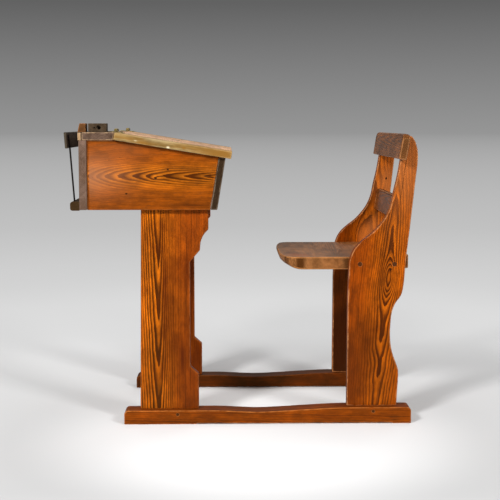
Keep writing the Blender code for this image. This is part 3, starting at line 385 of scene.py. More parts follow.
@built_once
def whorl():
    """A place that the rings flow round, with a core for a knot or an old nail hole."""
    w, take, give = effect_group("whorl", {
        "Coordinates": None, "Across": 0.0, "Along": 0.0, "Width": 0.01, "Stretch": 3.0,
        "Amount": 0.0, "Core": 0.0,
    }, ("Push", "Mask"))
    parts = w.split(take["Coordinates"])
    across = w.minus(parts[0], take["Across"])
    along = w.minus(parts[2], take["Along"])
    long = w.over(along, take["Stretch"])
    square = w.plus(w.times(across, across), w.times(long, long))
    spread = w.over(square, w.times(take["Width"], take["Width"]))
    w.feed(give["Push"], w.times(w.bell(spread), take["Amount"]))
    # the core is a rounder spot with a rough rim
    round_square = w.plus(w.times(across, across), w.times(along, w.times(along, 0.5)))
    far = w.over(w.maths("SQRT", round_square), w.larger(take["Core"], 0.00001))
    rough = w.times_plus(w.noise(take["Coordinates"], 420.0, 2.0), 0.8, far)
    w.feed(give["Mask"], w.step(rough, 1.5, 1.1))
    return w.tree


@built_once
def wood_finish():
    """Turns ring masks into the colour, roughness and height of old stained pine."""
    w, take, give = effect_group("wood_finish", {
        "Coordinates": None, "Facing": None, "Late": 0.0, "Fibre": 0.5, "Cloud": 0.5, "Pore": 0.0,
        "Knot": 0.0, "Edge": 0.0, "Flame": 1.0, "Tone": 0.0, "Early Wood": (0.5, 0.2, 0.05),
        "Calm Wood": (0.4, 0.15, 0.03), "Late Wood": (0.1, 0.02, 0.0),
        "Old Stain": (0.2, 0.05, 0.01), "Rubbed Edge": (0.6, 0.3, 0.1),
        "Bloom and Sheen": (0.6, 0.3, 0.2), "Ring Depth": 0.9,
        "Calm Depth": 0.5, "Stain Amount": 0.4, "Wear": 0.5, "End Shade": 0.5, "Roughness": 0.45,
        "Seed": 0.0,
    }, ("Color", "Roughness", "Height"))
    own = moved_by_seed(w, take, (2.9, 1.3, 0.7))
    # the rings, calmer away from the heart
    early = w.blend(take["Flame"], take["Calm Wood"], take["Early Wood"])
    calm = w.times_plus(w.minus(1.0, take["Calm Depth"]), take["Flame"], take["Calm Depth"])
    depth = w.times(take["Late"], w.times(take["Ring Depth"], calm), clamp=True)
    colour = w.blend(depth, early, take["Late Wood"])
    # the shade of fibres, clouds and a mottle
    grain = w.times_plus(take["Fibre"], 1.2, 0.40)
    shade = w.times(grain, w.step(take["Cloud"], 0.30, 0.70, 1.18, 0.70))
    mottle = w.grain_noise(own, 0.30, 75.0, 4.0, 0.7)
    shade = w.times(shade, w.step(mottle, 0.34, 0.66, 0.72, 1.24))
    level = w.join({0: shade, 1: shade, 2: shade})
    colour = w.blend(1.0, colour, level, "MULTIPLY")
    # old stain in patches, then the board's own rows, darker towards the old stain and paler
    # towards the bloom colour: real stain and bloom, and in places painted shade and painted sheen
    patch = w.grain_noise(own, 0.55, 21.0, 5.0, 0.65)
    stained = w.times(w.step(patch, 0.44, 0.68), take["Stain Amount"])
    colour = w.blend(stained, colour, take["Old Stain"])
    colour = w.blend(w.times(take["Pore"], 0.35), colour, take["Late Wood"])
    uneven = w.times_plus(take["Cloud"], 0.9, 0.55)
    darker = w.times(w.times(take["Tone"], -1.0), uneven, clamp=True)
    colour = w.blend(darker, colour, take["Old Stain"])
    colour = w.blend(w.times(take["Tone"], uneven, clamp=True), colour, take["Bloom and Sheen"])
    # end grain, knots, rubbed edges and specks
    facing = w.split(take["Facing"])
    end = w.step(w.maths("ABSOLUTE", facing[2]), 0.80, 0.97)
    colour = w.blend(w.times(end, take["End Shade"]), colour, take["Old Stain"])
    knot = w.blend(0.6, take["Late Wood"], (0.012, 0.004, 0.002))
    colour = w.blend(take["Knot"], colour, knot)
    rub = w.noise(own, 46.0, 4.0, 0.7)
    bare = w.plus(take["Edge"], w.times_plus(rub, 1.7, -1.32))
    bare = w.times(w.step(bare, 0.15, 0.75), take["Wear"])
    colour = w.blend(bare, colour, take["Rubbed Edge"])
    speck = w.step(w.noise(own, 240.0, 2.0, 0.5), 0.70, 0.76)
    colour = w.blend(w.times(speck, 0.35), colour, take["Late Wood"])
    w.feed(give["Color"], colour)
    # roughness: more on bare wood and on a board's narrow faces, less in late wood
    gloss = w.times_plus(take["Fibre"], 0.22, w.minus(take["Roughness"], 0.11))
    gloss = w.times_plus(bare, 0.16, gloss)
    narrow = w.step(w.maths("ABSOLUTE", facing[0]), 0.60, 0.90)
    gloss = w.times_plus(narrow, 0.28, gloss)
    gloss = w.times_plus(take["Cloud"], 0.14, w.minus(gloss, 0.07))
    w.feed(give["Roughness"], w.times_plus(take["Late"], -0.08, gloss, clamp=True))
    # relief
    height = w.times(take["Late"], 0.30)
    height = w.times_plus(take["Fibre"], 0.45, height)
    height = w.times_plus(take["Pore"], -0.25, height)
    dent = w.step(w.noise(own, 70.0, 1.0, 0.4), 0.66, 0.80, 0.0, -0.9)
    height = w.plus(height, dent)
    height = w.times_plus(take["Knot"], -0.8, height)
    w.feed(give["Height"], w.times_plus(speck, -0.4, height))
    return w.tree


@built_once
def old_metal():
    """Rubbed, dulled and pitted metal."""
    w, take, give = effect_group("old_metal", {
        "Coordinates": None, "Bright": (0.5, 0.4, 0.2), "Dull": (0.1, 0.08, 0.04), "Dullness": 0.5,
        "Roughness": 0.4,
    }, ("Color", "Roughness", "Height"))
    cloud = w.noise(take["Coordinates"], 190.0, 5.0, 0.65)
    dull = w.step(w.plus(cloud, w.minus(take["Dullness"], 0.5)), 0.36, 0.62)
    w.feed(give["Color"], w.blend(dull, take["Bright"], take["Dull"]))
    w.feed(give["Roughness"], w.times_plus(dull, 0.25, take["Roughness"], clamp=True))
    w.feed(give["Height"], w.noise(take["Coordinates"], 900.0, 3.0, 0.6))
    return w.tree


# ---------------------------------------------------------------- materials


def new_material(name):
    """A plain node material: (material, wiring, shader)."""
    material = bpy.data.materials.new(name)
    material.use_nodes = True
    return material, Wiring(material.node_tree), material.node_tree.nodes["Principled BSDF"]


def cover(w, shader, skin, relief):
    """Gives a shader a group's colour and roughness, and its height as bumps of some relief."""
    bump = w.add("ShaderNodeBump", {"Height": skin["Height"], "Distance": relief})
    w.feed(shader.inputs["Base Color"], skin["Color"])
    w.feed(shader.inputs["Roughness"], skin["Roughness"])
    w.feed(shader.inputs["Normal"], bump.outputs["Normal"])


def direction(axis):
    """The unit vector of an axis such as X or -X."""
    vector = Vector([float(letter == axis[-1]) for letter in "XYZ"])
    return vector * (-1 if axis[0] == "-" else 1)


def board_axes(along, across, lean):
    """The board's own axes as an Euler turn: X across, Y through, Z along the grain."""
    grain, width = direction(along), direction(across)
    own = Matrix((width, grain.cross(width), grain)).transposed()
    return (Matrix.Rotation(lean, 3, "Y") @ own).to_euler()


FINISHES = {
    "golden": dict(depth=1.0, calm=0.5, stain=0.35, wear=0.55, end=0.55, rough=-0.04, gloss=0.30,
                   bump=0.00030),
    "brown": dict(depth=0.75, calm=0.8, stain=0.45, wear=0.60, end=0.45, rough=0.04, gloss=0.35,
                  bump=0.00035),
    "bare": dict(depth=0.60, calm=0.8, stain=0.18, wear=0.35, end=0.35, rough=0.22, gloss=0.25,
                 bump=0.00045),
    "grey": dict(depth=0.70, calm=0.8, stain=0.35, wear=0.45, end=0.20, rough=0.26, gloss=0.25,
                 bump=0.00055),
    "black": dict(depth=0.70, calm=0.8, stain=0.30, wear=0.35, end=0.30, rough=0.18, gloss=0.25,
                  bump=0.00040),
}
PINE_SHEEN = (1.0, 0.62, 0.24)
METAL_PITS = 0.00008


def swirls(w, place, rows):
    """Whorls laid over one another: (the sum of their pushes, the mask of their cores)."""
    labels = ("Across", "Along", "Width", "Stretch", "Amount", "Core")
    made = [w.group(whorl(), {"Coordinates": place, **dict(zip(labels, row))}) for row in rows]
    cores = [swirl["Mask"] for swirl, row in zip(made, rows) if any(row[5:])]
    push = reduce(w.plus, [swirl["Push"] for swirl in made]) if made else 0.0
    return push, reduce(w.larger, cores) if cores else 0.0


def pine(node, along, across, lean=0.0, finish="golden", heart=(0.0, 0.03, 0.0), taper=0.02,
         rings=1.0, wander=1.0, seed=0.0, whorls=(), patches=(), tints=None, point=1.6,
         jitter=0.4, spread=0.05, lop=0.0, bold=0.5, inside=0, **changes):
    """A board's own material. heart is (across, depth, along) from the board's centre.

    whorls holds rows of (across, along, width, stretch, amount, core): rings that part, with or
    without a knot. patches holds rows of (across, along, width, stretch, amount): below 0 they
    darken towards the old stain, above 0 they pale towards the bloom; some rows are real stain and
    bloom, and some are painted shade and painted sheen. inside keeps the patches to faces that look
    along (1) or against (-1) the board's own Y, where the right-hand boards take painted shade and
    painted sheen on their inner faces. tints holds screen colours that differ from the finish.
    """
    settings = bpy.context.scene.school_desk_pine
    look = {**FINISHES[finish], **changes}
    material, w, shader = new_material(f"{node}_pine")
    axes = board_axes(along, across, lean)
    texture = w.add("ShaderNodeTexCoord").outputs
    place = w.add("ShaderNodeMapping", {
        "Vector": texture["Object"], "Location": centre_of(node), "Rotation": axes,
    }, vector_type="TEXTURE").outputs[0]
    facing = w.add("ShaderNodeMapping", {
        "Vector": texture["Normal"], "Rotation": axes,
    }, vector_type="TEXTURE").outputs[0]
    push, knot = swirls(w, place, whorls)
    # the board's rows of patches: real stain and bloom, and in places painted shade and painted
    # sheen, kept to the inner faces where a side is given
    stain_and_painted_light, _ = swirls(w, place, patches)
    if inside:
        looks_in = w.times(w.split(facing)[1], inside)
        stain_and_painted_light = w.times(stain_and_painted_light, w.step(looks_in, 0.6, 0.9))
    figure = w.group(pine_figure(), {
        "Coordinates": place, "Heart Across": heart[0], "Heart Depth": heart[1],
        "Heart Along": heart[2], "Taper": taper, "Ring Width": settings.ring_width * rings,
        "Wander": settings.wander * wander, "Push": push, "Seed": seed, "Point": point,
        "Jitter": jitter, "Spread": spread, "Lopsided": lop, "Boldness": bold,
    })
    tints = {key: tone(*screen) for key, screen in (tints or {}).items()}
    early = tints.get("early", getattr(settings, f"{finish}_light"))
    late = tints.get("late", getattr(settings, f"{finish}_dark"))
    rubbed = tints.get("edge", getattr(settings, f"{finish}_edge", early))
    skin = w.group(wood_finish(), {
        "Coordinates": place, "Facing": facing, "Knot": knot, "Tone": stain_and_painted_light, "Seed": seed,
        "Edge": w.add("ShaderNodeAttribute", attribute_name="edge").outputs["Fac"],
        **{label: figure[label] for label in ("Late", "Flame", "Fibre", "Cloud", "Pore")},
        "Early Wood": early, "Calm Wood": tints.get("calm", early), "Late Wood": late,
        "Old Stain": tints.get("stain", getattr(settings, f"{finish}_stain", late)),
        "Rubbed Edge": rubbed, "Bloom and Sheen": tints.get("bloom_and_sheen", rubbed),
        "Ring Depth": look["depth"] * settings.ring_depth, "Calm Depth": look["calm"],
        "Stain Amount": look["stain"], "Wear": look["wear"], "End Shade": look["end"],
        "Roughness": settings.roughness + look["rough"],
    })
    cover(w, shader, skin, look["bump"])
    w.feed(shader.inputs["Specular IOR Level"], look["gloss"])
    w.feed(shader.inputs["Specular Tint"], PINE_SHEEN)
    return material


def metal(name, bright, dull, dullness, roughness, metallic=1.0):
    """Brass, iron or steel, rubbed bright in places and dull in others."""
    material, w, shader = new_material(name)
    skin = w.group(old_metal(), {
        "Coordinates": w.add("ShaderNodeTexCoord").outputs["Object"], "Bright": bright,
        "Dull": dull, "Dullness": dullness, "Roughness": roughness,
    })
    cover(w, shader, skin, METAL_PITS)
    w.feed(shader.inputs["Metallic"], metallic)
    return material


# ---------------------------------------------------------------- pieces


def centre_of(node):
    """The middle of a node's box."""
    low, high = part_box(node)
    return (low + high) / 2


def stand(name, data):
    """A new object in the scene."""
    thing = bpy.data.objects.new(name, data)
    bpy.context.scene.collection.objects.link(thing)
    return thing


def mesh_of(name, bm):
    """A mesh from a bmesh, which is freed."""
    mesh = bpy.data.meshes.new(name)
    bm.to_mesh(mesh)
    bm.free()
    return mesh


def join_flat_faces(bm):
    """Makes one face of the triangles that a flat face is drawn with."""
    bmesh.ops.dissolve_limit(bm, angle_limit=ONE_FACE, verts=bm.verts, edges=bm.edges,
                             use_dissolve_boundaries=False)


def cut_across(bm, place, normal):
    """Cuts new edges into a mesh where a plane passes through it."""
    bmesh.ops.bisect_plane(bm, geom=bm.verts[:] + bm.edges[:] + bm.faces[:], plane_co=place,
                           plane_no=normal, dist=SNAPPED)


def clean_shape(node):
    """A merged copy of a node's mesh with its flat faces whole again."""
    bm = bmesh.new()
    bm.from_mesh(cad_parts[node].data)
    bmesh.ops.remove_doubles(bm, verts=bm.verts, dist=MERGED)
    join_flat_faces(bm)
    for layer in list(bm.loops.layers.uv.values()):
        bm.loops.layers.uv.remove(layer)
    return bm


def smooth_clusters(bm, least, turn):
    """Groups of faces that bend into one another by less than a turn and cover a least area."""
    flat = math.cos(turn)
    seen, groups = set(), []
    for first in bm.faces:
        if first in seen:
            continue
        group, reach = [first], [first]
        seen.add(first)
        while reach:
            face = reach.pop()
            for other in [other for edge in face.edges for other in edge.link_faces]:
                if other not in seen and face.normal.dot(other.normal) > flat:
                    seen.add(other)
                    group.append(other)
                    reach.append(other)
        if sum(face.calc_area() for face in group) >= least:
            groups.append(group)
    return groups


def narrowest(rim):
    """The least distance between two separate outlines, such as a hole and its board's edge."""
    left, outlines = set(rim), []
    while left:
        reach, outline = [left.pop()], []
        while reach:
            edge = reach.pop()
            outline.append(edge)
            for other in {other for vert in edge.verts for other in vert.link_edges} & left:
                left.discard(other)
                reach.append(other)
        outlines.append(outline)
    least = 1.0
    for outline in outlines:
        points = {vert for edge in outline for vert in edge.verts}
        for edge in [edge for other in outlines if other is not outline for edge in other]:
            start, end = edge.verts[0].co, edge.verts[1].co
            for point in points:
                share_along = intersect_point_line(point.co, start, end)[1]
                near = start.lerp(end, min(max(share_along, 0.0), 1.0))
                least = min(least, (point.co - near).length)
    return least


def rubbed_bands(bm, band, turn):
    """Marks a strip beside every edge in the "edge" attribute, 1 at the edge and 0 inside it."""
    layer = bm.verts.layers.float.new("edge")
    for vert in bm.verts:
        vert[layer] = 1.0
    for group in smooth_clusters(bm, SMALL_FACE * band * band, turn):
        held = set(group)
        rim = [
            edge for edge in {edge for face in group for edge in face.edges}
            if sum(face in held for face in edge.link_faces) == 1
        ]
        area = sum(face.calc_area() for face in group)
        span = area / sum(edge.calc_length() for edge in rim)
        if span < NARROW_FACE:
            continue
        width = min(band, SPAN_SHARE * span, GAP_SHARE * narrowest(rim))
        bmesh.ops.inset_region(bm, faces=group, thickness=width, use_even_offset=True,
                               use_boundary=True)
        for vert in {vert for face in group for vert in face.verts}:
            vert[layer] = 0.0


def finish_mesh(name, bm, material):
    """A smooth shaded object from a bmesh, with its corners kept sharp."""
    bm.normal_update()
    mesh = mesh_of(name, bm)
    mesh.shade_smooth()
    mesh.set_sharp_from_angle(angle=SHARP)
    mesh.materials.append(material)
    return stand(name, mesh)


def settle(piece):
    """Applies a piece's modifiers to its mesh."""
    bpy.context.view_layer.update()
    seen = piece.evaluated_get(bpy.context.evaluated_depsgraph_get())
    mesh = bpy.data.meshes.new_from_object(seen)
    piece.modifiers.clear()
    piece.data = mesh
    return piece


def weigh_normals(piece):
    """Keeps the big faces flat beside their rounded edges."""
    weigh = piece.modifiers.new("flat_faces", "WEIGHTED_NORMAL")
    weigh.keep_sharp = True
    weigh.weight = 90
    return settle(piece)


def round_over(bm, lean, reach):
    """Rounds the upper edge of a board that lies along Y and leans back."""
    up = Vector((math.sin(lean), 0.0, math.cos(lean)))
    through = Vector((math.cos(lean), 0.0, -math.sin(lean)))
    top = max(vert.co.dot(up) for vert in bm.verts)
    depths = [vert.co.dot(through) for vert in bm.verts]
    middle, half = (max(depths) + min(depths)) / 2, (max(depths) - min(depths)) / 2
    reach = min(reach, half)
    for cut in range(CURVE_CUTS):
        height = top - reach + reach * math.sin(math.radians(90.0 * cut / CURVE_CUTS))
        cut_across(bm, up * height, up)
    for vert in bm.verts:
        rise = vert.co.dot(up) - (top - reach)
        width = half - reach + math.sqrt(max(reach * reach - max(rise, 0.0) ** 2, 0.0))
        offset = vert.co.dot(through) - middle
        if rise > 0 and abs(offset) > width:
            vert.co += through * (math.copysign(width, offset) - offset)
    bmesh.ops.remove_doubles(bm, verts=bm.verts, dist=2 * MERGED)
    bmesh.ops.dissolve_degenerate(bm, edges=bm.edges, dist=2 * MERGED)
    join_flat_faces(bm)
    bm.normal_update()


def bow_front(bm, setback, straight=0.25, zone=0.12):
    """Bows the -X edge of a board forward, so that its two corners stand back.

    The middle share of the edge stays straight, and nothing moves beyond the zone behind it.
    """
    front = min(vert.co.x for vert in bm.verts)
    side = max(vert.co.y for vert in bm.verts)
    start = side * straight
    for cut in range(CURVE_CUTS):
        for sign in (-1.0, 1.0):
            place = start + (side - start) * math.sin(math.radians(90.0 * cut / CURVE_CUTS))
            cut_across(bm, (0.0, sign * place, 0.0), (0.0, 1.0, 0.0))
    for vert in bm.verts:
        share_out = max(abs(vert.co.y) - start, 0.0) / (side - start)
        share_near = max(1.0 - (vert.co.x - front) / zone, 0.0)
        vert.co.x += setback * share_out ** 2.6 * share_near ** 2
    bm.normal_update()


def dress(node, body, material, band=None, soften=None, reshape=None, turn=ONE_SIDE):
    """Stands a softened copy of a node in its place, with its own material.

    The copy never passes the box of the shape that it starts from.
    """
    settings = bpy.context.scene.school_desk_pine
    bm = clean_shape(node)
    if reshape:
        reshape(bm)
    low, high = (
        [pick(vert.co[axis] for vert in bm.verts) for axis in range(3)] for pick in (min, max)
    )
    reach = settings.edge_softness if soften is None else soften
    if reach > 0:
        least, most = SOFTENED
        bent = [
            edge for edge in bm.edges
            if len(edge.link_faces) == 2 and least < edge.calc_face_angle() < most
        ]
        bmesh.ops.bevel(bm, geom=bent, offset=reach, offset_type="OFFSET", segments=2, profile=0.5,
                        affect="EDGES", clamp_overlap=True)
        bm.normal_update()
    rubbed_bands(bm, settings.wear_band if band is None else band, turn)
    for vert in bm.verts:
        vert.co = [min(max(vert.co[axis], low[axis]), high[axis]) for axis in range(3)]
    piece = weigh_normals(finish_mesh(f"{node}_worn", bm, material))
    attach(piece, body)
    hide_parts(node)


def repaint(node, material):
    """Gives a node that keeps its own mesh a better material."""
    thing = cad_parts[node]
    for slot in thing.material_slots:
        slot.material = material
    if not thing.material_slots:
        thing.data.materials.append(material)


# ---------------------------------------------------------------- operators


class SCHOOLDESK_OT_runners(bpy.types.Operator):
    """Dress the two runners and the pegs through them"""

    bl_idname = "school_desk.runners"
    bl_label = "Runners"

    def execute(self, context):
        for node, along, heart, seed, stain, wear, tints in (
            ("left_runner", "X", (-0.030, 0.030, 0.0), 1.3, 0.65, 0.75, dict(
                early=(126, 54, 0), late=(66, 20, 0), stain=(92, 34, 0), edge=(186, 112, 52))),
            # painted shade: the right runner's colours are a darker copy of the left runner's,
            # standing for the shade that it lies in
            ("right_runner", "-X", (-0.032, 0.03, 0.1), 7.9, 0.8, 0.6, dict(
                early=(80, 29, 0), late=(36, 10, 0), stain=(46, 15, 0), edge=(124, 66, 24))),
        ):
            dress(node, "desk", pine(
                node, along, "Z", heart=heart, taper=0.012, rings=0.8, seed=seed, stain=stain,
                wear=wear, wander=0.8, calm=0.6, spread=0.02, tints=tints,
            ), band=0.004)
        pegs = ("left_leg_peg", "left_panel_peg", "right_leg_peg", "right_panel_peg")
        for number, node in enumerate(pegs):
            repaint(node, pine(
                node, "Y", "X", finish="brown", heart=(0.004, 0.003, 0.0), rings=0.25, wander=0.2,
                seed=11.0 + number, stain=0.9, wear=0.0, end=0.85,
                tints=dict(early=(96, 52, 22), late=(44, 20, 8), stain=(58, 26, 10)),
            ))
        return {"FINISHED"}


class SCHOOLDESK_OT_legs(bpy.types.Operator):
    """Dress the two planks under the desk"""

    bl_idname = "school_desk.legs"
    bl_label = "Desk legs"

    def execute(self, context):
        for node, across, heart, taper, seed, inside, patches in (
            ("left_desk_leg", "X", (-0.0390, 0.0342, 0.0), -0.0345, 2.35, 0, (
                # painted shadow: the first patch darkens the top of the leg under the locker
                (0.0, 0.325, 0.09, 0.4, -0.85), (0.045, -0.24, 0.05, 2.4, -0.55),
                (-0.010, 0.0, 0.022, 9.0, -0.50), (-0.024, 0.02, 0.009, 16.0, -0.50),
                (0.02, 0.05, 0.03, 1.6, -0.40), (0.036, 0.08, 0.010, 7.0, -0.5),
                (0.046, -0.06, 0.008, 6.0, -0.5), (0.020, -0.17, 0.007, 7.0, -0.5),
                (0.030, -0.12, 0.03, 2.0, -0.30),
            )),
            ("right_desk_leg", "-X", (0.030, 0.040, 0.05), 0.030, 8.6, 1, (
                # painted shade: this patch darkens the whole inner face of the far leg
                (0.0, 0.0, 0.3, 2.0, -0.9),
            )),
        ):
            dress(node, "desk", pine(
                node, "Z", across, heart=heart, taper=taper, wander=0.6, seed=seed, stain=0.45,
                wear=0.2, patches=patches, jitter=0.3, spread=0.052, lop=0.15, bold=0.70,
                point=1.62, calm=0.80, inside=inside, tints=dict(
                    early=(202, 103, 8), calm=(153, 65, 4), late=(42, 8, 0), stain=(76, 20, 0)),
            ))
        return {"FINISHED"}


class SCHOOLDESK_OT_seat_panels(bpy.types.Operator):
    """Dress the two shaped planks that carry the seat and the back, with the plugs in them"""

    bl_idname = "school_desk.seat_panels"
    bl_label = "Seat panels"

    def execute(self, context):
        for node, across, heart, taper, seed, inside, stained, whorls, patches in (
            ("left_seat_panel", "X", (0.014, 0.034, 0.0), -0.045, 4.2, 0, (66, 18, 0), (
                (0.018, -0.004, 0.017, 2.6, -0.019, 0.0), (0.0, 0.38, 0.07, 3.2, 0.034, 0.0),
                (0.020, 0.0201, 0.005, 2.0, -0.0015, 0.0028),
                (-0.02, 0.05, 0.014, 3.0, 0.003, 0.0), (0.0, -0.22, 0.013, 2.2, 0.004, 0.0),
            ), (
                # painted sheen: the first patch paints a sheen near the top of the left panel
                (0.03, 0.30, 0.05, 2.6, 0.5), (-0.04, -0.26, 0.05, 2.4, -0.80),
                (-0.02, -0.14, 0.02, 3.0, -0.45), (-0.06, 0.0, 0.03, 3.0, -0.35),
            )),
            # painted shade: on the right panel's inner face the first patch, in the darker old
            # stain colour (46, 9, 0), paints the shade below the seat; the pale patches paint sheen
            # on the inner face above the seat
            ("right_seat_panel", "-X", (-0.01, 0.05, 0.1), 0.045, 9.4, 1, (46, 9, 0), (
                (-0.043, 0.232, 0.010, 2.4, -0.004, 0.0028), (0.02, 0.06, 0.02, 3.0, -0.010, 0.0),
            ), (
                (0.0, -0.27, 0.15, 1.25, -1.5), (0.042, 0.0, 0.022, 3.0, -0.6),
                (0.004, 0.05, 0.03, 1.5, 0.5), (-0.045, 0.21, 0.03, 2.0, 0.5),
                (-0.02, 0.09, 0.02, 1.6, 0.35),
            )),
        ):
            dress(node, "desk", pine(
                node, "Z", across, PANEL_LEAN, heart=heart, taper=taper, rings=1.2, wander=1.2,
                seed=seed, stain=0.40, wear=0.95, whorls=whorls, patches=patches, spread=0.045,
                calm=0.4, jitter=0.6, inside=inside, tints=dict(
                    early=(182, 88, 4), calm=(140, 57, 0), late=(58, 13, 0), stain=stained,
                    edge=(184, 122, 74), bloom_and_sheen=(188, 108, 54)),
            ))
        steel = metal("seat_screw_steel", tone(120, 112, 104), tone(70, 50, 38), 0.5, 0.4)
        for number in range(1, 5):
            node = f"seat_plug_{number}"
            repaint(node, pine(
                node, "Y", "X", finish="brown", heart=(0.003, 0.004, 0.0), rings=0.3, wander=0.2,
                seed=20.0 + number, stain=0.9, wear=0.0, end=0.8,
                tints=dict(early=(90, 46, 20), late=(40, 16, 8), stain=(62, 26, 10)),
            ))
            repaint(f"seat_screw_{number}", steel)
        return {"FINISHED"}


class SCHOOLDESK_OT_locker(bpy.types.Operator):
    """Dress the boards of the locker, its floor and the bearers under it"""

    bl_idname = "school_desk.locker"
    bl_label = "Locker"

    def execute(self, context):
        for node, along, heart, taper, seed, whorls in (
            ("left_locker_side", "X", (-0.003, 0.0151, 0.0), -0.115, 3.6, (
                (0.0, 0.17, 0.11, 1.0, 0.0045, 0.0), (0.0, -0.20, 0.12, 0.48, 0.0065, 0.0),
                (-0.0065, 0.0068, 0.007, 2.2, -0.0020, 0.0030),
                (0.0146, 0.0372, 0.006, 2.0, -0.0010, 0.0022),
                (-0.0449, -0.0653, 0.006, 2.0, -0.0010, 0.0022),
            )),
            ("right_locker_side", "-X", (-0.012, 0.034, 0.03), 0.08, 12.2, (
                (0.02, -0.05, 0.009, 2.2, -0.003, 0.004),
            )),
        ):
            dress(node, "desk", pine(
                node, along, "Z", heart=heart, taper=taper, wander=0.7, seed=seed, stain=0.25,
                wear=0.20, whorls=whorls, spread=0.026, calm=0.30, jitter=0.3, bold=0.75, patches=(
                    # painted light: on the left board the first row paints a sheen at the end by
                    # the back board, and the thin row at 0.0857 paints the shadow under the rear
                    # rail; the right board takes the same rows
                    (0.0, -0.17, 0.046, 2.0, 0.85), (0.07, -0.06, 0.03, 2.2, 0.10),
                    (-0.074, 0.09, 0.005, 9.0, -0.7), (0.0, -0.1625, 0.14, 0.026, -2.4),
                    (0.0857, -0.11, 0.0032, 20.0, -2.0), (0.0, 0.168, 0.12, 0.012, -1.2),
                    (-0.05, 0.13, 0.03, 1.5, -0.1),
                ), tints=dict(early=(184, 99, 12), calm=(143, 66, 3), late=(54, 11, 0),
                              stain=(66, 22, 0), bloom_and_sheen=(158, 102, 70)),
            ), band=0.003)
        dress("locker_back", "desk", pine(
            "locker_back", "Y", "Z", finish="grey", heart=(0.03, 0.06, 0.0), taper=0.05, seed=5.5,
            rings=0.9, stain=0.5, patches=((-0.09, 0.0, 0.03, 30.0, -0.4),),
        ))
        dress("locker_front", "desk", pine(
            "locker_front", "Y", "Z", LID_SLOPE, finish="brown", heart=(0.02, 0.05, 0.05),
            taper=0.06, seed=6.1, rings=0.9, tints=dict(
                early=(46, 31, 24), late=(20, 13, 11), stain=(30, 20, 16), edge=(126, 108, 92)),
        ))
        for node, heart, taper, seed, early, late, soften in (
            ("locker_floor", (0.03, 0.05, 0.0), 0.05, 8.8, (170, 122, 72), (112, 70, 34), 0.0),
            ("rear_bearer", (0.02, 0.04, 0.0), 0.02, 3.1, (150, 104, 60), (96, 58, 28), 0.0008),
            ("front_bearer", (0.02, 0.04, 0.0), 0.02, 4.7, (150, 104, 60), (96, 58, 28), 0.0008),
        ):
            dress(node, "desk", pine(
                node, "Y", "X", finish="bare", heart=heart, taper=taper, seed=seed,
                tints=dict(early=early, late=late),
            ), soften=soften)
        return {"FINISHED"}


class SCHOOLDESK_OT_rear_rail(bpy.types.Operator):
    """Dress the fixed rail behind the lid and the light batten behind it"""

    bl_idname = "school_desk.rear_rail"
    bl_label = "Rear rail"

    def execute(self, context):
        dress("rear_rail", "desk", pine(
            "rear_rail", "Y", "X", finish="grey", heart=(0.01, 0.05, 0.0), taper=0.04, seed=2.7,
            rings=0.8, wear=0.75, stain=0.6, tints=dict(
                early=(116, 94, 82), late=(66, 48, 38), stain=(58, 40, 32), edge=(184, 152, 116)),
        ))
        dress("slot_batten", "desk", pine(
            "slot_batten", "Y", "Z", finish="bare", heart=(0.004, 0.03, 0.0), seed=7.2, rings=0.6,
            tints=dict(early=(186, 160, 132)),
        ), band=0.0015, soften=0.0004)
        return {"FINISHED"}


class SCHOOLDESK_OT_lid(bpy.types.Operator):
    """Dress the two boards and the two clamps of the lid"""

    bl_idname = "school_desk.lid"
    bl_label = "Lid"

    def execute(self, context):
        for node, seed, heart in (
            ("lid_rear_board", 3.9, (0.02, 0.035, 0.0)),
            ("lid_front_board", 6.6, (-0.03, 0.04, 0.1)),
        ):
            dress(node, "lid", pine(
                node, "Y", "X", LID_SLOPE, finish="bare", heart=heart, taper=0.05, seed=seed,
                rings=1.1, tints=dict(early=(218, 170, 128), late=(166, 112, 72)),
            ))
        for node, seed, patches in (
            ("left_lid_clamp", 1.9, (
                (-0.0027, -0.0917, 0.0018, 2.6, 0.9), (-0.0059, -0.0109, 0.0022, 1.5, 1.2),
                (-0.0011, 0.0279, 0.0022, 1.5, -2.2), (-0.004, 0.09, 0.012, 4.0, -0.9),
                (0.004, 0.128, 0.02, 1.2, -0.8), (0.008, -0.03, 0.0035, 20.0, 0.15),
                (-0.006, -0.075, 0.006, 4.0, -0.9),
            )),
            ("right_lid_clamp", 9.1, (
                (0.002, 0.05, 0.006, 6.0, -0.8), (-0.003, -0.06, 0.003, 2.4, 1.4),
            )),
        ):
            dress(node, "lid", pine(
                node, "X", "Z", LID_SLOPE, finish="bare", heart=(0.004, 0.03, 0.02), seed=seed,
                rings=0.8, wear=0.34, stain=0.75, depth=0.8, patches=patches, tints=dict(
                    early=(152, 128, 84), late=(122, 88, 38), stain=(132, 92, 38),
                    edge=(190, 158, 112), bloom_and_sheen=(226, 212, 176)),
            ), band=0.0025)
        return {"FINISHED"}


class SCHOOLDESK_OT_hinges(bpy.types.Operator):
    """Give the hinges old brass and slotted screws"""

    bl_idname = "school_desk.hinges"
    bl_label = "Hinges and screws"

    def execute(self, context):
        settings = context.scene.school_desk_metal
        brass = metal("hinge_brass", settings.brass, settings.tarnish, 0.55, 0.34)
        pin = metal("hinge_pin_brass", settings.brass, settings.tarnish, 0.65, 0.30)
        for side in ("left", "right"):
            for leaf, body in (("fixed", "desk"), ("moving", "lid")):
                dress(f"{side}_hinge_{leaf}_leaf", body, brass, band=0.0008, soften=0.0)
            repaint(f"{side}_hinge_pin", pin)
        for kind, body, lean in (("rail", "desk", 0.0), ("lid", "lid", LID_SLOPE)):
            nodes = [f"hinge_{kind}_screw_{number}" for number in range(1, 5)]
            up = Matrix.Rotation(lean, 3, "Y") @ Vector((0, 0, 1))
            heads = [middle_of_top(node, up) for node in nodes]
            piece = set_screws(f"hinge_{kind}_screws", heads, lean, brass)
            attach(piece, body)
            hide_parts(*nodes)
        return {"FINISHED"}


